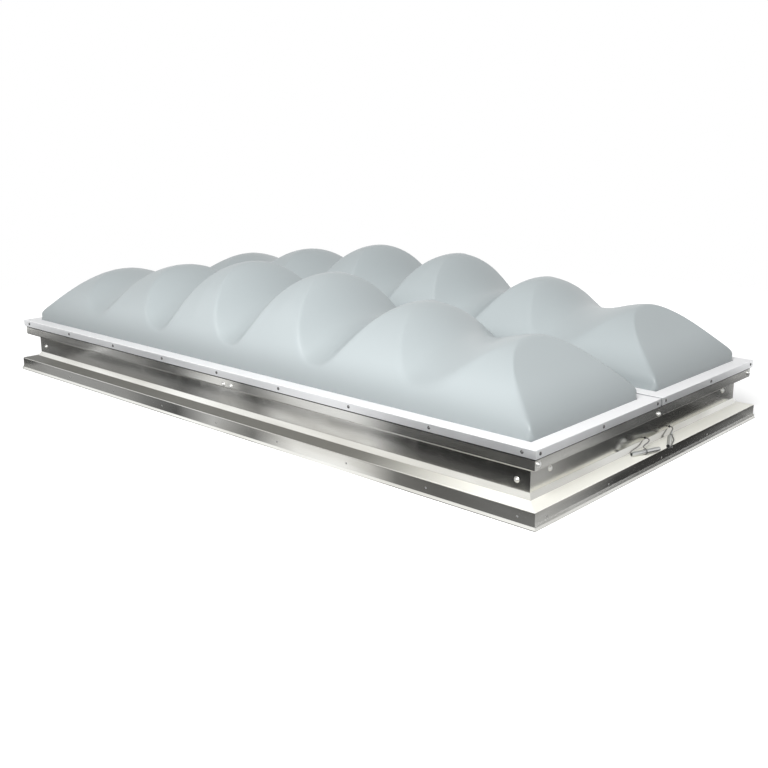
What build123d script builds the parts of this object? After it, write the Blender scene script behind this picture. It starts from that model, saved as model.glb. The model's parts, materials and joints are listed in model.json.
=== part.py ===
"""Double-leaf smoke vent for a roof opening of 8 ft by 4 ft, with its curb.

X runs along the vent (+X is the front end, where the pull handles lie), Y runs
across it (-Y is the near leaf, +Y the far leaf) and Z is up. The origin is at the
centre of the opening, on the plane of the skirt's bottom edge. All sizes in mm.
"""
import math
import os

from build123d import *

INCH = 25.4

# Opening and the offsets that the whole vent hangs on
OPENING_X = 96 * INCH / 2
OPENING_Y = 48 * INCH / 2
CAP_OVERHANG = 42.3
SPLIT_GAP = 5.5
SCREW_PITCH = 12 * INCH

# Curb section: distance out from the upright and height
SHEET = 2.0
BEND = 4.0
HEM_OUT, HEM_TOP = 60.0, 8.0
FLANGE_OUT, FLANGE_TOP = 54.0, 48.0
KICK_OUT, KICK_TOP = 57.0, 18.0
CANT_OUT, CANT_BOTTOM, CANT_TOP = 10.0, 56.0, 72.0
FLARE_BOTTOM = 133.0
RIM_OUT, RIM_BOTTOM, RIM_TOP = 36.5, 148.0, 176.0
SKIRT_HOLE_Z, SKIRT_HOLE_D = 24.0, 6.4

# Leaf: cap retainer, dome flange and frame, heights from the skirt's bottom edge
CAP_TOP, CAP_BOTTOM, CAP_WIDTH, CAP_SHEET = 206.3, 181.5, 47.5, 1.6
DOME_INSET, DOME_SHEET = 48.0, 3.5
TAPE = 1.2
DOME_FLANGE_TOP = CAP_TOP - CAP_SHEET - TAPE
FRAME_TOP = DOME_FLANGE_TOP - DOME_SHEET
FRAME_SHEET = 3.0
FRAME_OUTER_BOTTOM, FRAME_WEB_BOTTOM = 185.5, 152.0
CAP_SCREW_Z, CAP_SCREW_MARGIN, CAP_SCREW_D = 193.7, 19.6, 4.0

# Dome: humps along X, heights above the cap's top face
HUMP_PITCH = 404.0
CREST_MID, CREST_NEXT, CREST_END = 303.0, 254.0, 202.0
VALLEY_MID, VALLEY_NEXT, VALLEY_END = 175.0, 170.0, 168.0
VALLEY_SHARPNESS = 1.2
RISER_END, RISER_MID = 31.0, 38.0
END_LEAN = 201.5
FLANK_RISE = 2.5
FLANK_OVERSIZE = 0.6
SADDLE_AXIS_DEPTH = 215.0
DOME_CORNER_R = 18.0

# Hinge line
HINGE_Y, HINGE_Z = 630.0, 164.0
PIN_D, PIN_HEAD_D = 8.0, 14.0
RUNNING = 0.1
EAR_SHEET = 4.0

# Bolts seen on the curb
RIM_BOLTS_X = (26.0, 64.0)
RIM_BOLT_Z = 158.0
BOLT_D, BOLT_HEAD_D, BOLT_HEAD_H = 6.0, 12.0, 5.0
SIDE_BOLT_X, SIDE_BOLT_Z = 1177.0, 98.0
END_BOLT_Y, END_BOLT_Z = 520.0, 116.0
GUTTER_BOLT_Y, GUTTER_BOLT_Z, GUTTER_BOLT_HEAD_D = -4.0, 157.0, 14.0

# Gas springs, one at each end of each leaf
SPRING_X = 1185.0
SPRING_FOOT = (-580.0, 102.0)
SPRING_HEAD = (-300.0, 164.0)
TUBE_D, TUBE_BORE, TUBE_LENGTH = 22.0, 18.6, 205.0
ROD_D, EYE_T, EYE_D = 10.0, 12.0, 19.0

# Centre gutter and its seals
GUTTER_HALF, GUTTER_TOP, GUTTER_BOTTOM = 44.0, 176.0, 140.0
GUTTER_SEAL_TOP = FRAME_TOP - FRAME_SHEET - 0.3
CENTRE_SEAL_HALF = 4.6

# Latch under the gutter
KEEPER_Y, KEEPER_Z, KEEPER_PIN_D = 75.0, 134.0, 8.0
BEAK_GAP = 1.6
HOOK_Y, HOOK_Z, HOOK_T = 88.0, 100.0, 6.0
SLIDE_Z, SLIDE_HALF, SLIDE_T, SLIDE_REACH = 91.0, 12.0, 3.0, 60.0
LATCH_PLATE_X, LATCH_PLATE_T = 4.0, 3.0
ANCHOR_X = 90.0
LINK_POST_X = -118.0

# Manual release: conduits, grommets, pull cables and handles at the front end
EXIT_Z = 76.6
EXIT_Y = (-8.0, 146.0)
CABLE_D, CONDUIT_D = 3.0, 4.0
GROMMET_T = 1.5
HANDLE_D, HANDLE_BORE = 12.7, 9.5
SLEEVE_D, SLEEVE_LENGTH = 8.0, 9.0

# Each handle on the front ledge: its middle, turn from the X axis, tilt, length, height of its axis
HANDLE_CENTRES = ((1260.0, -79.0), (1262.0, 64.0))
HANDLE_TURNS = (72.0, -65.0)
HANDLE_TILTS = (3.2, 0.0)
HANDLE_LENGTHS = (108.0, 80.0)
HANDLE_LIFTS = (9.45, 6.75)

CAP_X = OPENING_X + CAP_OVERHANG
CAP_Y = OPENING_Y + CAP_OVERHANG
LEAF_Y = -(CAP_Y + SPLIT_GAP) / 2
LEAF_HALF = (CAP_Y - SPLIT_GAP) / 2
WEB_OUT = -(DOME_INSET + FRAME_SHEET)
ROD_ALONG_X = (0, 90, 0)
LEDGE_SLOPE = math.atan2(CANT_BOTTOM - FLANGE_TOP, FLANGE_OUT - CANT_OUT)


def rod_x(x0, x1, y, z, diameter):
    """Round bar along X from x0 to x1."""
    low, high = sorted((x0, x1))
    return Pos((low + high) / 2, y, z) * Rot(*ROD_ALONG_X) * Cylinder(diameter / 2, high - low)


def rod_y(y0, y1, x, z, diameter):
    """Round bar along Y from y0 to y1."""
    low, high = sorted((y0, y1))
    return Pos(x, (low + high) / 2, z) * Rot(90, 0, 0) * Cylinder(diameter / 2, high - low)


def rod_between(start, end, diameter, bore=0.0):
    """Round bar or tube between two points."""
    axis = Vector(*end) - Vector(*start)
    plane = Plane(origin=start, z_dir=axis)
    section = Circle(diameter / 2) - Circle(bore / 2) if bore else Circle(diameter / 2)
    return extrude(plane * section, amount=axis.length)


def block(x0, x1, y0, y1, z0, z1):
    """Box between two corners."""
    size = (x1 - x0, y1 - y0, z1 - z0)
    return Pos((x0 + x1) / 2, (y0 + y1) / 2, (z0 + z1) / 2) * Box(*size)


def plate_x(outline, x0, x1):
    """Flat plate standing across X, its outline given as (y, z) points."""
    face = make_face(Polyline(*[(x0, y, z) for y, z in outline], close=True))
    return extrude(face, amount=x1 - x0, dir=(1, 0, 0))


def joined(*curves):
    """One wire out of curves that meet end to end."""
    return Wire([edge for curve in curves for edge in curve.edges()])


def far(shape):
    """The far-side twin of a near-side piece."""
    return mirror(shape, about=Plane.XZ)


def back(shape):
    """The back-end twin of a front-end piece."""
    return mirror(shape, about=Plane.YZ)


def folded(points, thickness, bend=BEND):
    """Section of a brake-formed sheet: the points follow its outer face, metal to their left."""
    path = FilletPolyline(*points, radius=bend)
    return Face(path.offset_2d(thickness, kind=Kind.INTERSECTION, side=Side.LEFT, closed=True))


def mitred(section, half_run):
    """Length of a section along X, facing -Y, cut at 45 degrees at both ends."""
    plane = Plane(origin=(0, 0, 0), x_dir=(0, -1, 0), z_dir=(-1, 0, 0))
    length = extrude(plane * section, amount=half_run + 100, both=True)
    for sign in (1, -1):
        cut = Plane(origin=(sign * half_run, 0, 0), z_dir=(sign, 1, 0))
        length = split(length, bisect_by=cut, keep=Keep.BOTTOM)
    return length


def ring(section, half_x, half_y, centre_y=0.0, end_section=None):
    """Four mitred lengths around a rectangle: near, front, far and back."""
    long_side = mitred(section, half_x)
    end_side = mitred(end_section or section, half_y)
    return [
        Pos(0, centre_y - half_y, 0) * long_side,
        Pos(half_x, centre_y, 0) * Rot(0, 0, 90) * end_side,
        Pos(0, centre_y + half_y, 0) * Rot(0, 0, 180) * long_side,
        Pos(-half_x, centre_y, 0) * Rot(0, 0, -90) * end_side,
    ]


def leaf_ring(section):
    """Ring around the near leaf, its section measured from the cap's outer face."""
    return ring(section, CAP_X, LEAF_HALF, LEAF_Y)


def bar(x0, x1, z0, z1):
    """Rectangular section given by its two corners."""
    return Pos((x0 + x1) / 2, (z0 + z1) / 2) * Rectangle(x1 - x0, z1 - z0)


def curb_sections():
    """Sheet sections of the curb's long sides and of its ends, which kick out lower down."""
    upper = [
        (FLANGE_OUT, FLANGE_TOP), (CANT_OUT, CANT_BOTTOM), (0, CANT_TOP),
        (0, FLARE_BOTTOM), (RIM_OUT, RIM_BOTTOM), (RIM_OUT, RIM_TOP),
    ]
    hem = [(HEM_OUT, 0), (FLANGE_OUT, HEM_TOP)]
    kicked_hem = [(HEM_OUT, 0), (KICK_OUT, HEM_TOP), (FLANGE_OUT, KICK_TOP)]
    level = bar(-SHEET, HEM_OUT, 0, RIM_TOP)
    return folded(hem + upper, SHEET) & level, folded(kicked_hem + upper, SHEET, 2.5) & level


def curb_sides():
    """The curb: four folded lengths mitred at the corners, with their holes."""
    side_section, end_section = curb_sections()
    near_side, front, far_side, back_end = ring(
        side_section, OPENING_X, OPENING_Y, end_section=end_section)
    skirt_y = OPENING_Y + FLANGE_OUT
    skirt_x = OPENING_X + FLANGE_OUT
    rim_y = OPENING_Y + RIM_OUT
    rim_x = OPENING_X + RIM_OUT

    side_cuts = [
        rod_y(-skirt_y - 5, -skirt_y + 5, SCREW_PITCH * i, SKIRT_HOLE_Z, SKIRT_HOLE_D)
        for i in range(-4, 5)
    ]
    side_cuts += [rod_y(-rim_y - 5, -rim_y + 5, x, RIM_BOLT_Z, BOLT_D) for x in RIM_BOLTS_X]
    for sign in (1, -1):
        side_cuts.append(rod_y(
            -OPENING_Y - 5, -OPENING_Y + 5, sign * SIDE_BOLT_X, SIDE_BOLT_Z, BOLT_D))
    near_side -= side_cuts
    far_side = far(near_side)

    end_cuts = [
        rod_x(skirt_x - 5, skirt_x + 5, SCREW_PITCH * i, SKIRT_HOLE_Z, SKIRT_HOLE_D)
        for i in range(-2, 3)
    ]
    for sign in (1, -1):
        end_cuts.append(rod_x(rim_x - 5, rim_x + 5, sign * HINGE_Y, HINGE_Z, PIN_D))
        end_cuts.append(rod_x(
            OPENING_X - 5, OPENING_X + 5, sign * END_BOLT_Y, END_BOLT_Z, BOLT_D))
    end_cuts.append(rod_x(rim_x - 5, rim_x + 5, GUTTER_BOLT_Y, GUTTER_BOLT_Z, BOLT_D))
    end_cuts.append(block(
        rim_x - 5, rim_x + 5, GUTTER_BOLT_Y - 1.2, GUTTER_BOLT_Y + 1.2,
        GUTTER_BOLT_Z + 5, RIM_TOP + 1))
    front -= end_cuts
    back_end = back(front)
    front -= [
        rod_x(OPENING_X - 5, OPENING_X + 5, y, EXIT_Z, CONDUIT_D + 2) for y in EXIT_Y
    ]
    return {
        "curb_near_side": near_side, "curb_front_end": front,
        "curb_far_side": far_side, "curb_back_end": back_end,
    }


def rim_seal():
    """Black edge seal on the rim's lip, with its bulb below the cap's edge."""
    inside = RIM_OUT - SHEET
    section = bar(inside - 1.2, inside, RIM_TOP - 4, RIM_TOP + 1)
    section += Pos(RIM_OUT - 2.2, RIM_TOP + 2.5) * RectangleRounded(4.2, 5.0, 2.0)
    return ring(section, OPENING_X, OPENING_Y)


def centre_gutter():
    """Folded gutter under the split, open at the top, with the slit seal's saddle."""
    section = folded([
        (-GUTTER_HALF, GUTTER_TOP), (-GUTTER_HALF, GUTTER_BOTTOM),
        (GUTTER_HALF, GUTTER_BOTTOM), (GUTTER_HALF, GUTTER_TOP)], SHEET)
    return along_x(section, OPENING_X - SHEET)


def along_x(section, half_length):
    """Section in (y, z) run along X over both halves."""
    plane = Plane(origin=(0, 0, 0), x_dir=(0, 1, 0), z_dir=(1, 0, 0))
    return extrude(plane * section, amount=half_length, both=True)


def gutter_straps():
    """Joggled straps that carry the gutter's ends on the rim."""
    lip = OPENING_X + RIM_OUT - SHEET
    path = [
        (lip, RIM_TOP - 5), (lip, RIM_BOTTOM + 2), (OPENING_X - 24, RIM_BOTTOM + 2),
        (OPENING_X - 24, GUTTER_BOTTOM + SHEET), (OPENING_X - 70, GUTTER_BOTTOM + SHEET),
    ]
    face = Plane.XZ * Face(FilletPolyline(*path, radius=3.2).offset_2d(
        3.0, kind=Kind.INTERSECTION, side=Side.RIGHT, closed=True))
    strap = extrude(face, amount=25, both=True)
    strap -= rod_x(lip - 10, lip + 10, GUTTER_BOLT_Y, GUTTER_BOLT_Z, BOLT_D)
    return [strap, back(strap)]


def gutter_bolts():
    """Ball-headed bolts through the rim into the gutter straps."""
    face = OPENING_X + RIM_OUT
    shank = rod_x(face - SHEET - 8, face, GUTTER_BOLT_Y, GUTTER_BOLT_Z, BOLT_D)
    head = Pos(face, GUTTER_BOLT_Y, GUTTER_BOLT_Z) * Sphere(GUTTER_BOLT_HEAD_D / 2)
    head = split(head, bisect_by=Plane(origin=(face, 0, 0), z_dir=(1, 0, 0)), keep=Keep.TOP)
    bolt = shank + head
    return [bolt, back(bolt)]


def gutter_seals():
    """Two bulb seals on the gutter's lips, under the leaf frames."""
    height = GUTTER_SEAL_TOP - GUTTER_TOP
    centre = GUTTER_HALF - SHEET / 2
    section = Pos(centre, GUTTER_TOP + height / 2) * RectangleRounded(7, height, 3)
    seal = along_x(section, CAP_X - 12)
    return [seal, far(seal)]


def centre_seal():
    """Grey seal strip that stands in the split between the two caps."""
    low, high = CAP_BOTTOM, CAP_TOP - 3.0
    section = Pos(0, (low + high) / 2) * RectangleRounded(2 * CENTRE_SEAL_HALF, high - low, 4)
    strip = along_x(section, CAP_X - 3)
    fin = along_x(bar(-1.5, 1.5, GUTTER_BOTTOM + SHEET, low + 4), OPENING_X - 90)
    return strip + fin


def button_head_bolt_x(face, inner, y, z):
    """Bolt along X with its button head on the face at X = face."""
    head = Pos(face, y, z) * Rot(*ROD_ALONG_X) * Cylinder(
        BOLT_HEAD_D / 2, BOLT_HEAD_H, align=(Align.CENTER, Align.CENTER, Align.MIN))
    head = chamfer(head.edges().sort_by(Axis.X)[-1], 2.2)
    return head + rod_x(inner, face, y, z, BOLT_D)


def button_head_bolt_y(face, inner, x, z):
    """Bolt along Y with its button head on the face at Y = face, facing -Y."""
    head = Pos(x, face, z) * Rot(90, 0, 0) * Cylinder(
        BOLT_HEAD_D / 2, BOLT_HEAD_H, align=(Align.CENTER, Align.CENTER, Align.MIN))
    head = chamfer(head.edges().sort_by(Axis.Y)[0], 2.2)
    return head + rod_y(face, inner, x, z, BOLT_D)


def hinge_pins():
    """Corner pins of the near leaf: domed head outside, nut inside the rim."""
    face = OPENING_X + RIM_OUT
    shank = rod_x(face - SHEET - 14, face, -HINGE_Y, HINGE_Z, PIN_D)
    head = rod_x(face, face + 6, -HINGE_Y, HINGE_Z, PIN_HEAD_D)
    head = chamfer(head.edges().sort_by(Axis.X)[-1], 2.8)
    nut = Pos(face - SHEET - 1.6, -HINGE_Y, HINGE_Z) * Rot(*ROD_ALONG_X) * extrude(
        RegularPolygon(6.5, 6), amount=1.6, both=True)
    pin = shank + head + nut
    return [pin, back(pin)]


def middle_hinge():
    """Bracket inside the near rim with a short pin, held by the two rim bolts."""
    lip = -(OPENING_Y + RIM_OUT - SHEET)
    middle = sum(RIM_BOLTS_X) / 2
    reach = 34.0
    base = block(middle - reach, middle + reach, lip, lip + 3, RIM_BOTTOM + 3, RIM_BOLT_Z + 7)
    cheek_outline = [
        (lip + 3, RIM_BOTTOM + 5), (-HINGE_Y + 8, RIM_BOTTOM + 7), (-HINGE_Y + 9, HINGE_Z + 6),
        (-HINGE_Y + 3, HINGE_Z + 10), (-HINGE_Y - 6, HINGE_Z + 8), (lip + 3, HINGE_Z + 1),
    ]
    bracket = base
    for x in (middle - 12, middle + 9):
        bracket += plate_x(cheek_outline, x, x + 3)
    bracket -= [rod_y(lip - 1, lip + 8, x, RIM_BOLT_Z, BOLT_D) for x in RIM_BOLTS_X]
    bracket -= rod_x(middle - 20, middle + 20, -HINGE_Y, HINGE_Z, PIN_D)
    pin = rod_x(middle - 15, middle + 15, -HINGE_Y, HINGE_Z, PIN_D)
    return bracket, pin


def rim_bolts():
    """The pair of button-head bolts on the near rim at mid length."""
    face = -(OPENING_Y + RIM_OUT)
    return [button_head_bolt_y(face, face + SHEET + 6, x, RIM_BOLT_Z) for x in RIM_BOLTS_X]


def spring_bracket():
    """Corner bracket of the near front gas spring, with the stud that its eye turns on."""
    end_wall = OPENING_X - SHEET
    side_wall = -(OPENING_Y - SHEET)
    foot_y, foot_z = SPRING_FOOT
    plate = plate_x([
        (side_wall, SIDE_BOLT_Z - 14), (foot_y + 20, SIDE_BOLT_Z - 14),
        (-END_BOLT_Y + 14, END_BOLT_Z - 12), (-END_BOLT_Y + 14, END_BOLT_Z + 12),
        (side_wall, END_BOLT_Z + 14)], end_wall - 3, end_wall)
    tab = block(SIDE_BOLT_X - 14, end_wall, side_wall, side_wall + 3,
                SIDE_BOLT_Z - 14, SIDE_BOLT_Z + 12)
    stud = rod_x(SPRING_X - EYE_T / 2 - 3, end_wall, foot_y, foot_z, PIN_D)
    collar = rod_x(SPRING_X + EYE_T / 2 + 0.4, end_wall, foot_y, foot_z, PIN_D + 5)
    holes = [
        rod_x(end_wall - 4, end_wall + 1, -END_BOLT_Y, END_BOLT_Z, BOLT_D),
        rod_y(side_wall - 1, side_wall + 4, SIDE_BOLT_X, SIDE_BOLT_Z, BOLT_D),
    ]
    return (plate + tab - holes) + stud + collar


def spring_bracket_bolts():
    """Bolts of the near front spring bracket, their heads outside the curb."""
    side = button_head_bolt_y(-OPENING_Y, -OPENING_Y + SHEET + 7, SIDE_BOLT_X, SIDE_BOLT_Z)
    end = button_head_bolt_x(OPENING_X, OPENING_X - SHEET - 7, -END_BOLT_Y, END_BOLT_Z)
    return [side, end]


def spring_line():
    """Unit vector and length from the near front spring's foot to its head, in Y and Z."""
    run = SPRING_HEAD[0] - SPRING_FOOT[0]
    rise = SPRING_HEAD[1] - SPRING_FOOT[1]
    length = math.hypot(run, rise)
    return run / length, rise / length, length


def along_spring(distance):
    """Point on the near front spring's axis at a distance from its foot."""
    run, rise, _ = spring_line()
    return (SPRING_X, SPRING_FOOT[0] + run * distance, SPRING_FOOT[1] + rise * distance)


def spring_eye(centre_y, centre_z):
    """Round eye of a gas spring, without its hole."""
    return rod_x(SPRING_X - EYE_T / 2, SPRING_X + EYE_T / 2, centre_y, centre_z, EYE_D)


def spring_hole(centre_y, centre_z):
    """Hole through an eye, with running clearance on its stud."""
    return rod_x(SPRING_X - EYE_T, SPRING_X + EYE_T, centre_y, centre_z, PIN_D + 2 * RUNNING)


def spring_tube():
    """Pressure tube of the near front gas spring, with its eye and its gland."""
    tube = rod_between(along_spring(16), along_spring(TUBE_LENGTH), TUBE_D)
    tube -= rod_between(along_spring(24), along_spring(TUBE_LENGTH - 8), TUBE_BORE)
    tube -= rod_between(along_spring(24), along_spring(TUBE_LENGTH + 1), ROD_D + 2 * RUNNING)
    neck = rod_between(along_spring(6), along_spring(17), ROD_D)
    return tube + neck + spring_eye(*SPRING_FOOT) - spring_hole(*SPRING_FOOT)


def spring_rod():
    """Piston rod of the near front gas spring, with its piston and eye."""
    _, _, length = spring_line()
    rod = rod_between(along_spring(40), along_spring(length - 6), ROD_D)
    piston = rod_between(along_spring(36), along_spring(48), TUBE_BORE - 2 * RUNNING)
    return rod + piston + spring_eye(*SPRING_HEAD) - spring_hole(*SPRING_HEAD)


def spring_studs():
    """Plates and studs on the near leaf's end webs, beside the open eye of each rod."""
    web = CAP_X + WEB_OUT
    head_y, head_z = SPRING_HEAD
    plate = block(web - 3, web, head_y - 25, head_y + 25, head_z - 11, head_z + 25)
    stud = rod_x(SPRING_X + EYE_T / 2 + 0.5, web, head_y, head_z, PIN_D)
    collar = rod_x(SPRING_X + EYE_T / 2 + 6, web, head_y, head_z, PIN_D + 6)
    piece = plate + stud + collar
    return [piece, back(piece)]


def ridge_height(x):
    """Height of the dome's ridge: a wave whose crests and valleys fall away from the middle."""
    levels = (VALLEY_MID, CREST_MID, VALLEY_NEXT, CREST_NEXT, VALLEY_END, CREST_END)
    half_waves = min(2 * abs(x) / HUMP_PITCH, 5.0)
    index = min(int(half_waves), 4)
    low, high = sorted(levels[index:index + 2])
    share = half_waves - index
    if levels[index] > levels[index + 1]:
        share = 1 - share
    lift = ((1 - math.cos(math.pi * share)) / 2) ** VALLEY_SHARPNESS
    return low + (high - low) * lift


def dome_saddles(inset):
    """The wavy ridge turned about a low axis along X: humps and saddles, convex across."""
    steps = 6
    reach = DOME_X + 12
    ridge = [
        (HUMP_PITCH * i / steps, 0, ridge_height(HUMP_PITCH * i / steps) - inset)
        for i in range(-5 * steps // 2, 5 * steps // 2 + 1)
    ]
    end_z = ridge[0][2]
    crown = Spline(*ridge, tangents=((1, 0, 0), (1, 0, 0)))
    rest = Polyline(ridge[-1], (reach, 0, end_z), (reach, 0, -SADDLE_AXIS_DEPTH),
                    (-reach, 0, -SADDLE_AXIS_DEPTH), (-reach, 0, end_z), ridge[0])
    return revolve(Face(joined(crown, rest)), axis=Axis((0, 0, -SADDLE_AXIS_DEPTH), (1, 0, 0)))


def dome_flanks(inset):
    """The arched vault that the humps' flanks follow, highest at mid length."""
    half = DOME_Y + FLANK_OVERSIZE - inset
    stations = [(0.5, CREST_MID, RISER_MID), (1.5, CREST_NEXT, (RISER_MID + RISER_END) / 2),
                (2.5, CREST_END, RISER_END)]
    stations = [(HUMP_PITCH * step, crest, riser) for step, crest, riser in stations]
    stations.append((DOME_X + 12, CREST_END - 26, RISER_END))
    stations = [(-x, crest, riser) for x, crest, riser in reversed(stations)] + stations
    sections = []
    for x, crest, riser in stations:
        top = crest + FLANK_RISE - inset
        arch = ThreePointArc((x, half, riser), (x, 0, top), (x, -half, riser))
        base = Polyline((x, -half, riser), (x, -half, DOME_FOOT), (x, half, DOME_FOOT),
                        (x, half, riser))
        sections.append(joined(base, arch))
    return Solid.make_loft(sections)


def dome_ends(inset):
    """Block with the two leaning end faces and the rounded corners of the riser."""
    slope = (CREST_END - RISER_END) / END_LEAN
    foot_x = DOME_X - inset
    lip = RISER_END - inset * 0.35
    rise = CREST_MID - lip + 40
    profile = Polyline(
        (-foot_x, DOME_FOOT), (foot_x, DOME_FOOT), (foot_x, lip), (foot_x - rise / slope, lip + rise),
        (-foot_x + rise / slope, lip + rise), (-foot_x, lip), close=True)
    wedge = extrude(Plane.XZ * make_face(profile), amount=DOME_Y + 50, both=True)
    plan = RectangleRounded(2 * foot_x, 2 * (DOME_Y - inset), DOME_CORNER_R - inset)
    return wedge & extrude(Pos(0, 0, DOME_FOOT) * plan, amount=CREST_MID + 200)


def dome_body(inset):
    """Solid dome, drawn in by an inset for its inner face."""
    return dome_flanks(inset) & dome_saddles(inset) & dome_ends(inset)


def dome():
    """Thin formed dome of the near leaf with its clamping flange."""
    shell = dome_body(0) - dome_body(DOME_SHEET)
    shell = Pos(0, LEAF_Y, CAP_TOP) * shell
    flange = extrude(
        Pos(0, LEAF_Y, FRAME_TOP) * (
            Rectangle(2 * (CAP_X - 4), 2 * (LEAF_HALF - 4))
            - RectangleRounded(2 * (DOME_X - DOME_SHEET), 2 * (DOME_Y - DOME_SHEET),
                               DOME_CORNER_R - DOME_SHEET)),
        amount=DOME_SHEET)
    return shell + flange


def cap():
    """Cap retainer of the near leaf: white top face and screwed side face."""
    section = folded([(0, CAP_BOTTOM), (0, CAP_TOP), (-CAP_WIDTH, CAP_TOP)], CAP_SHEET, 2.4)
    return drilled(leaf_ring(section))


def glazing_tape():
    """Tape between the cap and the dome's flange."""
    return leaf_ring(bar(-CAP_WIDTH + 4, -4, DOME_FLANGE_TOP, DOME_FLANGE_TOP + TAPE))


def leaf_frame():
    """Channel frame of the near leaf: outer leg, top leg and a deep inner web."""
    section = folded([
        (-CAP_SHEET, FRAME_OUTER_BOTTOM), (-CAP_SHEET, FRAME_TOP),
        (WEB_OUT, FRAME_TOP), (WEB_OUT, FRAME_WEB_BOTTOM)], FRAME_SHEET, 4.5)
    return drilled(leaf_ring(section))


def at_cap_screws(piece):
    """Copies of a piece at every screw of the near cap, its Z axis pointing outwards."""
    places = [
        Pos(SCREW_PITCH * i, -CAP_Y, CAP_SCREW_Z) * Rot(90, 0, 0) for i in range(-4, 5)
    ]
    for offset in (-LEAF_HALF + CAP_SCREW_MARGIN, 0, LEAF_HALF - CAP_SCREW_MARGIN):
        places.append(Pos(CAP_X, LEAF_Y + offset, CAP_SCREW_Z) * Rot(0, 90, 0))
        places.append(Pos(-CAP_X, LEAF_Y + offset, CAP_SCREW_Z) * Rot(0, -90, 0))
    return [place * piece for place in places]


def cap_screws():
    """Pan-head screws through the near cap's side faces."""
    head = Cone(3.6, 2.4, 2.4, align=(Align.CENTER, Align.CENTER, Align.MIN))
    return at_cap_screws(head + cap_screw_shank())


def cap_screw_shank():
    """Shank of one cap screw, through the cap's side and the frame's leg."""
    depth = CAP_SHEET + FRAME_SHEET
    return Cylinder(CAP_SCREW_D / 2, depth, align=(Align.CENTER, Align.CENTER, Align.MAX))


def drilled(lengths):
    """The mitred lengths of a leaf's ring, drilled for the cap screws."""
    holes = at_cap_screws(cap_screw_shank())
    return [length - holes for length in lengths]


def corner_ears():
    """Goose-neck hinge ears under the near leaf's frame, one in each rim corner."""
    outer = OPENING_X + RIM_OUT - SHEET - 3.6
    top = FRAME_TOP - FRAME_SHEET
    arm = plate_x([
        (-HINGE_Y, HINGE_Z - 11), (-HINGE_Y + 46, HINGE_Z - 6), (-HINGE_Y + 58, top),
        (-HINGE_Y + 26, top), (-HINGE_Y + 20, HINGE_Z + 11), (-HINGE_Y, HINGE_Z + 11)],
        outer - EAR_SHEET, outer)
    ear = arm + rod_x(outer - EAR_SHEET, outer, -HINGE_Y, HINGE_Z, 22)
    foot = block(outer - 24, outer, -HINGE_Y + 28, -HINGE_Y + 56, top - 3, top)
    ear += foot
    ear -= rod_x(outer - 10, outer + 5, -HINGE_Y, HINGE_Z, PIN_D + 2 * RUNNING)
    return [ear, back(ear)]


def middle_ear():
    """Hinge ear on the near leaf's web, between the middle bracket's cheeks."""
    middle = sum(RIM_BOLTS_X) / 2
    web = -CAP_Y - WEB_OUT - FRAME_SHEET
    tab = plate_x([
        (-HINGE_Y, HINGE_Z - 9), (web, FRAME_WEB_BOTTOM + 2), (web, HINGE_Z + 9),
        (-HINGE_Y, HINGE_Z + 9)], middle - 4, middle + 4)
    tab += rod_x(middle - 4, middle + 4, -HINGE_Y, HINGE_Z, 18)
    return tab - rod_x(middle - 9, middle + 9, -HINGE_Y, HINGE_Z, PIN_D + 2 * RUNNING)


def keeper():
    """Keeper under the near leaf's split-side web, with the pin that the hook holds."""
    web = -SPLIT_GAP + WEB_OUT
    outline = [
        (web, FRAME_WEB_BOTTOM + 16), (web, KEEPER_Z + 4), (-KEEPER_Y + 6, KEEPER_Z - 7),
        (-KEEPER_Y - 6, KEEPER_Z - 7), (-KEEPER_Y - 7, KEEPER_Z + 5), (web - 6, FRAME_WEB_BOTTOM + 22),
    ]
    cheeks = plate_x(outline, 14, 17) + plate_x(outline, -17, -14)
    back_plate = block(-17, 17, web - 3, web, FRAME_WEB_BOTTOM + 1, FRAME_WEB_BOTTOM + 16)
    return cheeks + back_plate + rod_x(-17, 17, -KEEPER_Y, KEEPER_Z, KEEPER_PIN_D)


def hook():
    """Near latch hook: arm outside the keeper's pin, beak above it, tail over the slide."""
    tip = KEEPER_Y + KEEPER_PIN_D / 2 + BEAK_GAP
    outline = [
        (-HOOK_Y + 8, HOOK_Z - 8), (-HOOK_Y + 6, HOOK_Z + 22), (-HOOK_Y + 5, KEEPER_Z + 5),
        (-tip, KEEPER_Z + 6), (-tip, KEEPER_Z + 11), (-HOOK_Y - 8, KEEPER_Z + 14),
        (-HOOK_Y - 9, HOOK_Z), (-HOOK_Y - 4, HOOK_Z - 9),
    ]
    tail_low = SLIDE_Z + SLIDE_T + 0.5
    tail = plate_x([
        (-HOOK_Y, tail_low), (-2, tail_low), (-2, tail_low + 6), (-HOOK_Y + 8, HOOK_Z + 8)],
        -HOOK_T / 2, HOOK_T / 2)
    plate = plate_x(outline, -HOOK_T / 2, HOOK_T / 2) + tail
    return plate - rod_x(-HOOK_T, HOOK_T, -HOOK_Y, HOOK_Z, PIN_D + 2 * RUNNING)


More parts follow.
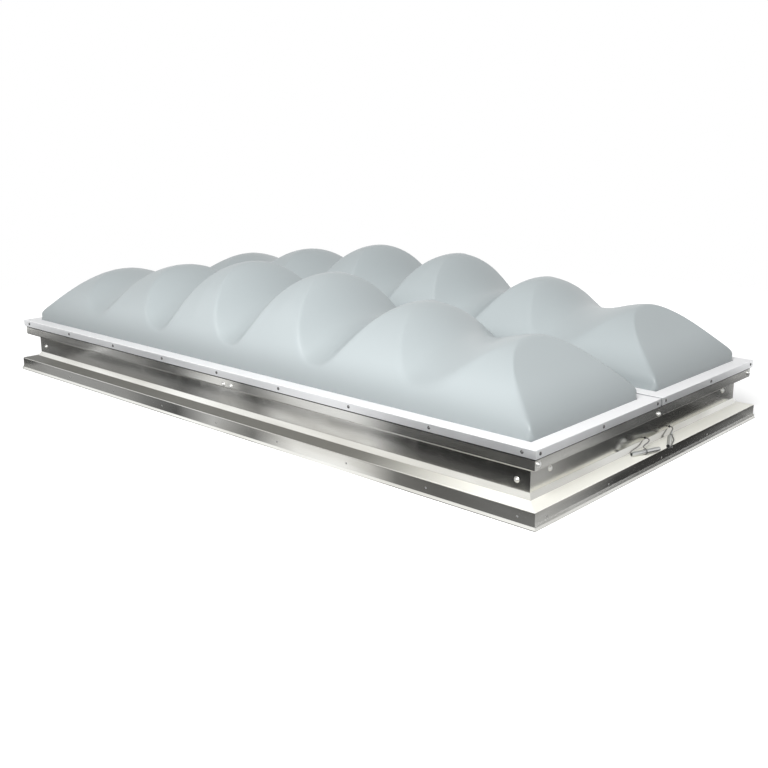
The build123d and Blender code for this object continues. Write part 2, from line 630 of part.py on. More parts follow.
def latch_bracket():
    """Two hanging plates under the gutter that carry the hooks and guide the slide."""
    inner, outer = LATCH_PLATE_X, LATCH_PLATE_X + LATCH_PLATE_T
    low = SLIDE_Z - 7
    outline = [
        (-GUTTER_HALF + 6, GUTTER_BOTTOM), (-HOOK_Y - 10, HOOK_Z + 10), (-HOOK_Y - 10, low),
        (HOOK_Y + 10, low), (HOOK_Y + 10, HOOK_Z + 10), (GUTTER_HALF - 6, GUTTER_BOTTOM),
    ]
    plate = plate_x(outline, inner, outer)
    plate -= block(inner - 1, outer + 1, -SLIDE_HALF - 0.6, SLIDE_HALF + 0.6,
                   SLIDE_Z - 0.4, SLIDE_Z + 31)
    plate -= [rod_x(inner - 1, outer + 1, y, HOOK_Z, PIN_D) for y in (-HOOK_Y, HOOK_Y)]
    foot = block(inner, inner + 30, -GUTTER_HALF + 8, GUTTER_HALF - 8,
                 GUTTER_BOTTOM - 3, GUTTER_BOTTOM)
    side = plate + foot
    return [side, back(side)]


def hook_pins():
    """Pivot pins of the two hooks."""
    reach = LATCH_PLATE_X + LATCH_PLATE_T + 2
    return [rod_x(-reach, reach, y, HOOK_Z, PIN_D) for y in (-HOOK_Y, HOOK_Y)]


def release_slide():
    """Slide with the ramp that lifts the hooks' tails as the cables draw it forwards."""
    ramp_start = -HOOK_T / 2 - 1
    top = SLIDE_Z + SLIDE_T
    side_view = Polyline(
        (-SLIDE_REACH, SLIDE_Z), (SLIDE_REACH, SLIDE_Z), (SLIDE_REACH, top), (ramp_start, top),
        (ramp_start - 20, top + 25), (ramp_start - 27, top + 25), (ramp_start - 27, top),
        (-SLIDE_REACH, top), close=True)
    slide = extrude(Plane.XZ * make_face(side_view), amount=SLIDE_HALF - 0.4, both=True)
    lugs = block(SLIDE_REACH - 4, SLIDE_REACH, -SLIDE_HALF + 0.4, SLIDE_HALF - 0.4,
                 SLIDE_Z, SLIDE_Z + 12)
    return slide + lugs


def fusible_link():
    """Post under the gutter and the soldered link that ends at the slide."""
    post = block(LINK_POST_X, LINK_POST_X + 4, -14, 14, SLIDE_Z - 3, GUTTER_BOTTOM)
    post += block(LINK_POST_X, LINK_POST_X + 30, -14, 14, GUTTER_BOTTOM - 3, GUTTER_BOTTOM)
    start = LINK_POST_X + 4
    middle = (start - SLIDE_REACH) / 2
    halves = block(start, middle + 10, -8, 8, SLIDE_Z + 1.5, SLIDE_Z + 2.5)
    halves += block(middle - 10, -SLIDE_REACH - 0.6, -8, 8, SLIDE_Z + 0.5, SLIDE_Z + 1.5)
    return post, halves


def conduit_ends():
    """Both ends of each cable conduit: at the front end wall and at the anchor."""
    wall = OPENING_X - SHEET
    return [
        ((wall - 1.5, y, EXIT_Z), (ANCHOR_X + 4.5, side * 7.0, SLIDE_Z + 8))
        for y, side in zip(EXIT_Y, (-1, 1))
    ]


def cable_anchor():
    """Plate under the gutter that the two conduits end in."""
    plate = block(ANCHOR_X, ANCHOR_X + 4, -18, 18, SLIDE_Z - 3, GUTTER_BOTTOM)
    return plate + block(ANCHOR_X, ANCHOR_X + 30, -18, 18, GUTTER_BOTTOM - 3, GUTTER_BOTTOM)


def grommets():
    """Flanged grommets where the release cables leave the curb."""
    pieces = []
    for y in EXIT_Y:
        body = rod_x(OPENING_X - SHEET - 1, OPENING_X, y, EXIT_Z, CONDUIT_D + 2)
        flange = rod_x(OPENING_X, OPENING_X + GROMMET_T, y, EXIT_Z, CONDUIT_D + 3)
        pieces.append(body + flange)
    return pieces


def handle_frame(index):
    """Plane of a handle lying on the front ledge: X along the tube, Z off the ledge."""
    x, y = HANDLE_CENTRES[index]
    out = x - OPENING_X
    lift = HANDLE_LIFTS[index] / math.cos(LEDGE_SLOPE)
    z = CANT_BOTTOM - (out - CANT_OUT) * math.tan(LEDGE_SLOPE) + lift
    turn = math.radians(HANDLE_TURNS[index])
    down_ledge = Vector(math.cos(LEDGE_SLOPE), 0, -math.sin(LEDGE_SLOPE))
    off_ledge = Vector(math.sin(LEDGE_SLOPE), 0, math.cos(LEDGE_SLOPE))
    on_ledge = down_ledge * math.cos(turn) + Vector(0, 1, 0) * math.sin(turn)
    tilt = math.radians(HANDLE_TILTS[index])
    return Plane(origin=(x, y, z),
                 x_dir=on_ledge * math.cos(tilt) + off_ledge * math.sin(tilt),
                 z_dir=off_ledge * math.cos(tilt) - on_ledge * math.sin(tilt))


def on_handle(index, along, side=0.0, up=0.0):
    """Point given along, beside and above the centre of a handle."""
    point = handle_frame(index).from_local_coords(Vector(along, side, up))
    return (point.X, point.Y, point.Z)


def handle(index):
    """Pull handle: a short length of tube, open at both ends."""
    half = HANDLE_LENGTHS[index] / 2
    return rod_between(on_handle(index, -half), on_handle(index, half), HANDLE_D, HANDLE_BORE)


def left_route():
    """Points of the left pull cable, from the grommet's face to its loop round the handle."""
    round_tube = (HANDLE_D + CABLE_D) / 2
    return [
        (OPENING_X + GROMMET_T, EXIT_Y[0], EXIT_Z), (1230, EXIT_Y[0], EXIT_Z), (1239, -17, 74),
        (1243, -35, 72), (1244, -52, 71.5), (1247, -68, 71),
        on_handle(0, 0, 10, round_tube), on_handle(0, 0, 0, round_tube),
    ]


def sleeve_axis():
    """Middle of the right cable's sleeve, its direction down the cable, and one across it."""
    above = Vector(1239.5, 121, 70.5)
    below = Vector(*on_handle(1, -HANDLE_LENGTHS[1] / 2 - 9, 0, 1.2))
    down = (below - above).normalized()
    across = down.cross(Vector(0, 0, -1)).normalized()
    return (above + below) * 0.5, down, across, above, below


def right_route():
    """Points of the right pull cable: through the handle's bore and back up to its sleeve."""
    end = HANDLE_LENGTHS[1] / 2
    middle, down, across, above, below = sleeve_axis()
    back_strand = middle + across * (CABLE_D + 0.2)
    return [
        (OPENING_X + GROMMET_T, EXIT_Y[1], EXIT_Z), (1229.5, EXIT_Y[1], EXIT_Z), (1237, 136, 74),
        tuple(above), tuple(below),
        on_handle(1, 11 - end, 0.4, -1.6), on_handle(1, 2, 1.2, -2.2), on_handle(1, end - 14, 0.4, -1.2),
        on_handle(1, end - 2, 2, 0.3), on_handle(1, end + 3.5, 4.2, 0.8),
        on_handle(1, end + 5.3, 8.6, 0.5), on_handle(1, end + 2, 12.2, -0.5),
        on_handle(1, end - 6, 12.4, -2.5), on_handle(1, end - 21, 9.8, -4.4),
        on_handle(1, -8, 10.4, -4.9), on_handle(1, 9 - end, 15, -2.5),
        tuple(back_strand + down * 7.5 + across * 1.5), tuple(back_strand - down * 4),
    ]


def bend_radii(points):
    """Radius of each corner of a route: as large as its two runs allow."""
    radii = []
    for before, corner, after in zip(points, points[1:], points[2:]):
        a = Vector(*before) - Vector(*corner)
        b = Vector(*after) - Vector(*corner)
        turn = math.radians(180 - a.get_angle(b))
        radii.append(0.45 * min(a.length, b.length) / math.tan(turn / 2))
    return radii


def cable(points):
    """Cable along straight runs joined by tangent arcs."""
    path = FilletPolyline(*points, radius=bend_radii(points))
    section = Plane(origin=path @ 0, z_dir=path % 0) * Circle(CABLE_D / 2)
    return sweep(section, path=path)


def cable_loop():
    """The left cable's turn round the middle of its handle."""
    ring_plane = handle_frame(0)
    section = ring_plane * Pos(0, 0, (HANDLE_D + CABLE_D) / 2) * Rot(90, 0, 0) * Circle(CABLE_D / 2)
    return revolve(section, axis=Axis(ring_plane.origin, ring_plane.x_dir), revolution_arc=300)


def cable_sleeve():
    """Pressed sleeve that closes the right cable's loop, with both strands in it."""
    middle, down, across, _, _ = sleeve_axis()
    centre = middle + across * (CABLE_D / 2)
    ends = [tuple(centre + down * (side * SLEEVE_LENGTH / 2)) for side in (-1, 1)]
    return rod_between(*ends, SLEEVE_D) - cable(right_route())


DOME_X = CAP_X - DOME_INSET
DOME_Y = LEAF_HALF - DOME_INSET
DOME_FOOT = FRAME_TOP - CAP_TOP


def build_nodes():
    """Every node of the vent by name."""
    nodes = curb_sides()
    nodes["rim_seal"] = rim_seal()
    nodes["centre_gutter"] = centre_gutter()
    nodes["gutter_straps"] = gutter_straps()
    nodes["gutter_bolts"] = gutter_bolts()
    nodes["gutter_seals"] = gutter_seals()
    nodes["centre_seal"] = centre_seal()

    bracket, pin = middle_hinge()
    curb_hardware = {
        "hinge_pins": hinge_pins(),
        "middle_hinge_brackets": [bracket],
        "middle_hinge_pins": [pin],
        "rim_bolts": rim_bolts(),
    }
    for name, pieces in curb_hardware.items():
        nodes[name] = pieces + [far(piece) for piece in pieces]

    near_leaf = {
        "dome": [dome()],
        "cap": cap(),
        "glazing_tape": glazing_tape(),
        "leaf_frame": leaf_frame(),
        "cap_screws": cap_screws(),
        "hinge_ears": corner_ears() + [middle_ear()],
        "spring_studs": spring_studs(),
        "keeper": [keeper()],
        "latch_hook": [hook()],
    }
    for name, pieces in near_leaf.items():
        nodes[f"{name}_near"] = pieces
        nodes[f"{name}_far"] = [far(piece) for piece in pieces]

    bracket = spring_bracket()
    nodes["spring_brackets"] = [bracket, back(bracket), far(bracket), far(back(bracket))]
    bolts = spring_bracket_bolts()
    bolts += [back(bolt) for bolt in bolts]
    nodes["spring_bracket_bolts"] = bolts + [far(bolt) for bolt in bolts]
    for name, shape in {"spring_tube": spring_tube(), "spring_rod": spring_rod()}.items():
        nodes[f"{name}_near_front"] = shape
        nodes[f"{name}_near_back"] = back(shape)
        nodes[f"{name}_far_front"] = far(shape)
        nodes[f"{name}_far_back"] = far(back(shape))

    nodes["latch_brackets"] = latch_bracket()
    nodes["hook_pins"] = hook_pins()
    nodes["release_slide"] = release_slide()
    nodes["link_post"], nodes["fusible_link"] = fusible_link()
    nodes["cable_anchor"] = cable_anchor()
    nodes["cable_conduits"] = [rod_between(a, b, CONDUIT_D) for a, b in conduit_ends()]
    nodes["grommets"] = grommets()
    for index, (side, route) in enumerate({"left": left_route(), "right": right_route()}.items()):
        print(f"pull_cable_{side} radii", [round(radius, 1) for radius in bend_radii(route)])
        nodes[f"pull_handle_{side}"] = handle(index)
        nodes[f"pull_cable_{side}"] = cable(route)
    nodes["cable_loop"] = cable_loop()
    nodes["cable_sleeve"] = cable_sleeve()
    return nodes


def write_nodes():
    """Write one STEP file for each node."""
    os.makedirs("parts", exist_ok=True)
    for name, shape in build_nodes().items():
        pieces = shape if isinstance(shape, list) else [shape]
        solids = [solid for piece in pieces for solid in piece.solids()]
        export_step(Compound(children=solids, label=name), f"parts/{name}.step")


write_nodes()
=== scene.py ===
"""Looks of the double-leaf smoke vent: finishes, small hardware, cables, studio and camera.

Everything is in metres in the frame of the CAD model: X along the vent (+X is the front end
with the pull handles), Y across it (-Y is the near leaf), Z up, with the floor at z = 0.
"""

import json
import logging
import math
from abc import ABC, abstractmethod
from dataclasses import dataclass, field
from enum import Enum
from typing import Any, Iterable, Iterator, Mapping, Sequence, Union

import bmesh
import bpy
from mathutils import Matrix, Vector

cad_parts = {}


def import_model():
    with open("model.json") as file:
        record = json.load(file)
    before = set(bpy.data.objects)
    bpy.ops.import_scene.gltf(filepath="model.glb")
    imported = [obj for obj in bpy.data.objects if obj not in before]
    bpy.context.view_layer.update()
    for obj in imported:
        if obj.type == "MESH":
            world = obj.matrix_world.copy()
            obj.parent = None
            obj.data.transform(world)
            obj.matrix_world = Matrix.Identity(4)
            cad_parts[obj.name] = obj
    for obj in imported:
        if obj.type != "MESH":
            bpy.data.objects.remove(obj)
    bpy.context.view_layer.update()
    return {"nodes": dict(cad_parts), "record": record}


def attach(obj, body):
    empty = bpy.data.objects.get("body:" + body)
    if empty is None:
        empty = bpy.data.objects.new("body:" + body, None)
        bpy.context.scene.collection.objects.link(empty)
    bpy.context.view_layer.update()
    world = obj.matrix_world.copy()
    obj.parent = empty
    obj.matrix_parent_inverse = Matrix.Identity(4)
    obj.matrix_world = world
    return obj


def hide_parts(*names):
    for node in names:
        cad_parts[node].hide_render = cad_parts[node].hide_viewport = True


log = logging.getLogger("smoke_vent")

Point = tuple[float, float, float]
Colour = tuple[float, float, float]
Pair = tuple[float, float]
# The foot of a fastener's head and the way it points.
Seat = tuple[Point, Point]

PHOTO_PIXELS = 768
SENSOR_MM = 36.0
MM_PER_METRE = 1000
# Farthest thing that the camera shows, in metres.
FARTHEST_VIEW = 60.0
# Height of the floor and of the cards that only reflections see, in metres.
FLOOR_HEIGHT = -0.0006
CARD_HEIGHT = 0.0015
# How much longer a card is than the places along it that have a level.
CARD_OVERHANG = 1.6
# Average level of a noise texture.
NOISE_MIDDLE = 0.5
# Sockets of a colour Mix node, which has several of each name: its inputs and its output.
MIX_SHARE, MIX_FIRST, MIX_SECOND = 0, 6, 7
MIX_RESULT = 2
# Where the humps are, from the middle of the vent outwards, in pitches.
HUMPS = (0.5, 1.5, 2.5)


class Slot(str, Enum):
    """Material slots of the record."""

    CURB = "curb_steel"
    CAP = "cap_aluminium"
    FRAME = "frame_aluminium"
    DOME = "dome_sheet"
    BLACK_RUBBER = "black_rubber"
    GREY_RUBBER = "grey_rubber"
    BOLT = "bolt_zinc"
    SCREW = "screw_steel"
    LATCH = "latch_steel"
    LINK = "link_brass"
    SPRING = "spring_black"
    ROD = "rod_chrome"
    HANDLE = "handle_steel"
    CABLE = "cable_black"


class Coordinates(str, Enum):
    """Outputs of the texture coordinate node that the finishes read."""

    OBJECT = "Object"
    UV = "UV"
    GENERATED = "Generated"


class Value:
    """A socket of a node tree that can be used in arithmetic."""

    def __init__(self, graph: "Graph", socket: bpy.types.NodeSocket) -> None:
        """Wraps a socket.

        Args:
            graph: The graph that the socket belongs to.
            socket: The output socket.
        """
        self.graph = graph
        self.socket = socket

    def __add__(self, other: "Operand") -> "Value":
        """Returns the sum."""
        return self.graph.math("ADD", self, other)

    def __radd__(self, other: "Operand") -> "Value":
        """Returns the sum, with the value second."""
        return self.graph.math("ADD", other, self)

    def __sub__(self, other: "Operand") -> "Value":
        """Returns the difference."""
        return self.graph.math("SUBTRACT", self, other)

    def __rsub__(self, other: "Operand") -> "Value":
        """Returns the difference, with the value second."""
        return self.graph.math("SUBTRACT", other, self)

    def __mul__(self, other: "Operand") -> "Value":
        """Returns the product."""
        return self.graph.math("MULTIPLY", self, other)

    def __rmul__(self, other: "Operand") -> "Value":
        """Returns the product, with the value second."""
        return self.graph.math("MULTIPLY", other, self)

    def __truediv__(self, other: "Operand") -> "Value":
        """Returns the quotient."""
        return self.graph.math("DIVIDE", self, other)

    def __rtruediv__(self, other: "Operand") -> "Value":
        """Returns the quotient, with the value second."""
        return self.graph.math("DIVIDE", other, self)

    def __pow__(self, other: "Operand") -> "Value":
        """Returns the power."""
        return self.graph.math("POWER", self, other)

    def __neg__(self) -> "Value":
        """Returns the value with its sign turned."""
        return self.graph.math("MULTIPLY", self, -1.0)

    def sine(self) -> "Value":
        """Returns the sine of the value."""
        return self.graph.math("SINE", self)

    def larger(self, other: "Operand") -> "Value":
        """Returns the larger of the value and another."""
        return self.graph.math("MAXIMUM", self, other)

    def ramp(self, low: float, high: float) -> "Value":
        """Returns a smooth step of the value.

        Args:
            low: Value that gives 0.
            high: Value that gives 1.

        Returns:
            The step, from 0 to 1.
        """
        inputs = {"Value": self, "From Min": low, "From Max": high}
        node = self.graph.add("ShaderNodeMapRange", inputs, interpolation_type="SMOOTHSTEP")
        return Value(self.graph, node.outputs["Result"])

    def scaled(self, x: float, y: float, z: float) -> "Value":
        """Returns the vector with each part multiplied by a constant.

        Args:
            x: Factor of the X part.
            y: Factor of the Y part.
            z: Factor of the Z part.

        Returns:
            The scaled vector.
        """
        inputs = {0: self, 1: (x, y, z)}
        node = self.graph.add("ShaderNodeVectorMath", inputs, operation="MULTIPLY")
        return Value(self.graph, node.outputs["Vector"])

    def part(self, axis: str) -> "Value":
        """Returns one part of the vector, named X, Y or Z."""
        node = self.graph.add("ShaderNodeSeparateXYZ", {0: self})
        return Value(self.graph, node.outputs[axis])


Operand = Union[Value, float]


class Graph:
    """The node tree of a material or of the world."""

    def __init__(self, tree: bpy.types.NodeTree) -> None:
        """Empties a tree and wraps it.

        Args:
            tree: The node tree to fill.
        """
        tree.nodes.clear()
        self.tree = tree

    def add(self, kind: str, inputs: Mapping[Any, Any], **settings: Any) -> bpy.types.Node:
        """Adds a node. Every node of every graph is made here.

        Args:
            kind: Blender's type name of the node.
            inputs: Constants or values for its inputs, by name or index.
            **settings: Properties to set on the node, and the (place, level) stops of a ramp.

        Returns:
            The new node.
        """
        node = self.tree.nodes.new(kind)
        stops = settings.pop("stops", ())
        for place, _ in stops[1:-1]:
            node.color_ramp.elements.new(place)
        for stop, (_, level) in zip(node.color_ramp.elements if stops else (), stops):
            stop.color = (level, level, level, 1.0)
        for name, setting in settings.items():
            setattr(node, name, setting)
        for key, value in inputs.items():
            if isinstance(value, Value):
                self.tree.links.new(value.socket, node.inputs[key])
            else:
                node.inputs[key].default_value = value
        return node

    def math(self, operation: str, *operands: Operand) -> Value:
        """Returns the result of a Math node."""
        node = self.add("ShaderNodeMath", dict(enumerate(operands)), operation=operation)
        return Value(self, node.outputs["Value"])

    def coordinates(self, kind: Coordinates) -> Value:
        """Returns a texture coordinate of the surface."""
        return Value(self, self.add("ShaderNodeTexCoord", {}).outputs[kind.value])

    def noise(self, where: Value, scale: float, detail: float = 3.0, rough: float = 0.5) -> Value:
        """Returns fractal noise from 0 to 1, about 0.5 on average."""
        inputs = {"Vector": where, "Scale": scale, "Detail": detail, "Roughness": rough}
        return Value(self, self.add("ShaderNodeTexNoise", inputs).outputs["Fac"])

    def mix(self, share: Operand, first: Any, second: Any) -> Value:
        """Returns a blend of two colours.

        Args:
            share: How much of the second colour there is, from 0 to 1.
            first: The first colour, a constant or a value.
            second: The second colour, a constant or a value.

        Returns:
            The blend.
        """
        inputs = {MIX_SHARE: share, MIX_FIRST: rgba(first), MIX_SECOND: rgba(second)}
        node = self.add("ShaderNodeMix", inputs, data_type="RGBA")
        return Value(self, node.outputs[MIX_RESULT])

    def bump(self, height: Value, distance: float, strength: float) -> Value:
        """Returns a normal bent by a height field.

        Args:
            height: Height, in units of distance.
            distance: Height in metres that 1 stands for.
            strength: How much of the bump shows, from 0 to 1.

        Returns:
            The bent normal.
        """
        inputs = {"Height": height, "Distance": distance, "Strength": strength}
        return Value(self, self.add("ShaderNodeBump", inputs).outputs["Normal"])


def rgba(colour: Any) -> Any:
    """Returns a colour with alpha 1, or a value as it is."""
    return colour if isinstance(colour, Value) else (*colour, 1.0)


def grey(level: float) -> Colour:
    """Returns a grey of one level."""
    return (level, level, level)


def shaded(colour: Colour, share: float) -> Colour:
    """Returns a darker colour, each part multiplied by a share."""
    return tuple(part * share for part in colour)


@dataclass(frozen=True)
class Finish(ABC):
    """How a surface looks.

    Attributes:
        name: Name of the material.
        colour: Base colour, linear.
        roughness: Average roughness.
    """

    name: str
    colour: Colour
    roughness: float

    @abstractmethod
    def shade(self, graph: Graph) -> dict[str, Any]:
        """Returns the shader's inputs, by the socket's name."""

    def material(self) -> bpy.types.Material:
        """Makes the material.

        Returns:
            A material whose surface is one principled shader.
        """
        material = bpy.data.materials.new(self.name)
        material.use_nodes = True
        graph = Graph(material.node_tree)
        shader = graph.add("ShaderNodeBsdfPrincipled", self.shade(graph))
        surface = Value(graph, shader.outputs["BSDF"])
        graph.add("ShaderNodeOutputMaterial", {"Surface": surface})
        return material


@dataclass(frozen=True)
class SheetMetal(Finish):
    """Mill-finish sheet: faint grain along the rolling direction, soft waves and tarnish.

    Attributes:
        grain: Scale of the grain along X, Y and Z; the smallest is the rolling direction.
        grain_relief: Height of the grain, as a share of the waves' height.
        tarnish: Colour of the duller patches.
        tarnish_scale: Scale of the patches along X, Y and Z.
        tarnish_band: Noise levels over which a patch sets in.
        spread: How far roughness strays from its average.
        scuff_scale: Scale of the scuffs.
        scuff_band: Noise levels over which a scuff sets in.
        scuff_dulls: What a scuff adds to the roughness, as a share of spread.
        wave: Height in metres of the slow waves in the sheet.
        wave_scale: Scale of the waves along X, Y and Z.
        dust_and_painted_light: Dust and painted light on the upward faces, towards the front end.
        dust_and_painted_light_far: Its colour towards the back end, painted shade on the curb.
        cover_share: How much of the metal it hides.
        cover_dulls: What it adds to the roughness.
        cover_heights: Lowest and highest point of the covered faces, in metres.
        cover_edge: Height in metres on each side of those over which it sets in.
        cover_along: Where along X one colour gives way to the other.
    """

    grain: Point = (2.0, 2.0, 260.0)
    grain_relief: float = 0.006
    tarnish: Colour = (0.55, 0.54, 0.5)
    tarnish_scale: Point = (1.6, 1.6, 9.0)
    tarnish_band: Pair = (0.35, 0.75)
    spread: float = 0.08
    scuff_scale: float = 22.0
    scuff_band: Pair = (0.5, 0.75)
    scuff_dulls: float = 0.6
    wave: float = 0.0006
    wave_scale: Point = (1.3, 1.3, 7.0)
    dust_and_painted_light: Colour = (0.95, 0.94, 0.87)
    dust_and_painted_light_far: Colour = (0.12, 0.117, 0.105)
    cover_share: float = 0.0
    cover_dulls: float = 0.25
    cover_heights: Pair = (0.047, 0.0565)
    cover_edge: float = 0.0008
    cover_along: Pair = (0.6, 1.2)

    def shade(self, graph: Graph) -> dict[str, Any]:
        """Returns the shader's inputs for rolled sheet.

        Args:
            graph: The material's nodes.

        Returns:
            Constants and values by the socket's name.
        """
        where = graph.coordinates(Coordinates.OBJECT)
        grain = graph.noise(where.scaled(*self.grain), scale=1.0, detail=4.0, rough=0.6)
        patches = graph.noise(where.scaled(*self.tarnish_scale), scale=1.0)
        waves = graph.noise(where.scaled(*self.wave_scale), scale=1.0, detail=1.0)
        scuffs = graph.noise(where, self.scuff_scale).ramp(*self.scuff_band)
        colour = graph.mix(patches.ramp(*self.tarnish_band), self.colour, self.tarnish)
        rough = self.roughness + (grain - NOISE_MIDDLE) * self.spread
        rough = rough + scuffs * (self.scuff_dulls * self.spread)
        relief = waves + grain * self.grain_relief
        inputs = {"Metallic": 1.0, "Normal": graph.bump(relief, self.wave, strength=1.0)}
        # Upward faces take dust and painted light, whose colour changes along X from the back end
        # to the front.
        if self.cover_share:
            dust_and_painted_light = self.covered(where)
            along = where.part("X").ramp(*self.cover_along)
            colour = graph.mix(dust_and_painted_light, colour, graph.mix(along, self.dust_and_painted_light_far, self.dust_and_painted_light))
            rough = rough + dust_and_painted_light * self.cover_dulls
            inputs["Metallic"] = 1.0 - dust_and_painted_light
        return {"Base Color": colour, "Roughness": rough, **inputs}

    def covered(self, where: Value) -> Value:
        """Returns how much of the metal the dust and painted light hide.

        Args:
            where: Place on the surface.

        Returns:
            The hidden share, from 0 to 1.
        """
        height = where.part("Z")
        above_low, above_high = (
            height.ramp(level - self.cover_edge, level + self.cover_edge)
            for level in self.cover_heights)
        return (above_low - above_high) * self.cover_share


@dataclass(frozen=True)
class FormedSheet(Finish):
    """Satin formed sheet with a hint of orange peel and cloudy tone, and painted shade that
    darkens its foot.

    Attributes:
        coat: Weight of the clear coat.
        coat_roughness: Roughness of the clear coat.
        cloud_scale: Scale of the cloudy tone.
        cloud_band: Noise levels over which the tone changes.
        cloud_shade: Brightness of the darker tone, as a share of the colour.
        cloud_spread: How far the clouds take roughness from its average.
        painted_shade: How much painted shade darkens the foot, from 0 to 1.
        painted_shade_level: Brightness of the painted shade, as a share of the colour.
        painted_shade_heights: Heights between which the painted shade fades, in metres.
        peel_scale: Scale of the orange peel.
        peel_height: Height of the orange peel in metres.
        peel_strength: How much of it shows, from 0 to 1.
    """

    coat: float = 0.25
    coat_roughness: float = 0.2
    cloud_scale: float = 1.7
    cloud_band: Pair = (0.3, 0.7)
    cloud_shade: float = 0.965
    cloud_spread: float = 0.05
    painted_shade: float = 0.9
    painted_shade_level: float = 0.6
    painted_shade_heights: Pair = (0.2, 0.325)
    peel_scale: float = 420.0
    peel_height: float = 0.0001
    peel_strength: float = 0.2

    def shade(self, graph: Graph) -> dict[str, Any]:
        """Returns the shader's inputs for formed sheet.

        Args:
            graph: The material's nodes.

        Returns:
            Constants and values by the socket's name.
        """
        where = graph.coordinates(Coordinates.OBJECT)
        cloud = graph.noise(where, self.cloud_scale, detail=2.0)
        darker = shaded(self.colour, self.cloud_shade)
        tone = graph.mix(cloud.ramp(*self.cloud_band), self.colour, darker)
        # Painted shade: the colour darkens towards the dome's foot.
        low = 1.0 - where.part("Z").ramp(*self.painted_shade_heights)
        tone = graph.mix(low * self.painted_shade, tone, shaded(self.colour, self.painted_shade_level))
        peel = graph.noise(where, self.peel_scale, detail=2.0)
        return {
            "Base Color": tone,
            "Roughness": self.roughness + (cloud - NOISE_MIDDLE) * self.cloud_spread,
            "Coat Weight": self.coat, "Coat Roughness": self.coat_roughness,
            "Normal": graph.bump(peel, self.peel_height, self.peel_strength),
        }


@dataclass(frozen=True)
class Plain(Finish):
    """Small parts: moulded, painted or plated, with a fine grain and dull patches.

    Attributes:
        metallic: 1 for bare or plated metal, 0 for rubber, plastic or paint.
        grain_scale: Scale of the grain, larger is finer.
        grain_height: Height of the grain in metres.
        grain_strength: How much of it shows, from 0 to 1.
        grain_spread: How far the grain takes roughness from its average.
        worn: Colour of the duller patches.
        worn_share: How much of that colour they show.
        worn_scale: Scale of the patches.
        worn_band: Noise levels over which a patch sets in.
        worn_dulls: What a patch adds to the roughness.
    """

    metallic: float = 0.0
    grain_scale: float = 900.0
    grain_height: float = 0.0001
    grain_strength: float = 0.5
    grain_spread: float = 0.12
    worn: Colour = (0.3, 0.3, 0.3)
    worn_share: float = 0.45
    worn_scale: float = 45.0
    worn_band: Pair = (0.5, 0.75)
    worn_dulls: float = 0.1

    def shade(self, graph: Graph) -> dict[str, Any]:
        """Returns the shader's inputs for a small part.

        Args:
            graph: The material's nodes.

        Returns:
            Constants and values by the socket's name.
        """
        where = graph.coordinates(Coordinates.OBJECT)
        grain = graph.noise(where, self.grain_scale)
        worn = graph.noise(where, self.worn_scale, detail=4.0, rough=0.65).ramp(*self.worn_band)
        rough = self.roughness + (grain - NOISE_MIDDLE) * self.grain_spread
        return {
            "Base Color": graph.mix(worn * self.worn_share, self.colour, self.worn),
            "Metallic": self.metallic,
            "Roughness": rough + worn * self.worn_dulls,
            "Normal": graph.bump(grain, self.grain_height, self.grain_strength),
        }


@dataclass(frozen=True)
class WireRope(Finish):
    """Sheathed wire rope whose strands show as a slow twist along the curve.

    Attributes:
        turns: Twists of the strands over the curve's whole length.
        strands: Number of strands round the rope.
        groove_shade: Brightness of the painted shade between the strands, as a share of the
            colour.
        metallic: How metallic the rope is, from 0 to 1.
        strand_dulls: What the top of a strand adds to the roughness.
        strand_height: Height of a strand in metres.
    """

    turns: float = 40.0
    strands: float = 6.0
    groove_shade: float = 0.35
    metallic: float = 0.8
    strand_dulls: float = 0.1
    strand_height: float = 0.0004

    def shade(self, graph: Graph) -> dict[str, Any]:
        """Returns the shader's inputs for wire rope.

        Args:
            graph: The material's nodes.

        Returns:
            Constants and values by the socket's name.
        """
        where = graph.coordinates(Coordinates.UV)
        twist = where.part("X") * (self.turns * math.tau)
        phase = twist + where.part("Y") * (self.strands * math.tau)
        strand = phase.sine() * 0.5 + 0.5
        # Painted shade: the colour darkens between the strands.
        painted_groove = shaded(self.colour, self.groove_shade)
        return {
            "Base Color": graph.mix(strand, painted_groove, self.colour),
            "Metallic": self.metallic,
            "Roughness": self.roughness + strand * self.strand_dulls,
            "Normal": graph.bump(strand, self.strand_height, strength=1.0),
        }


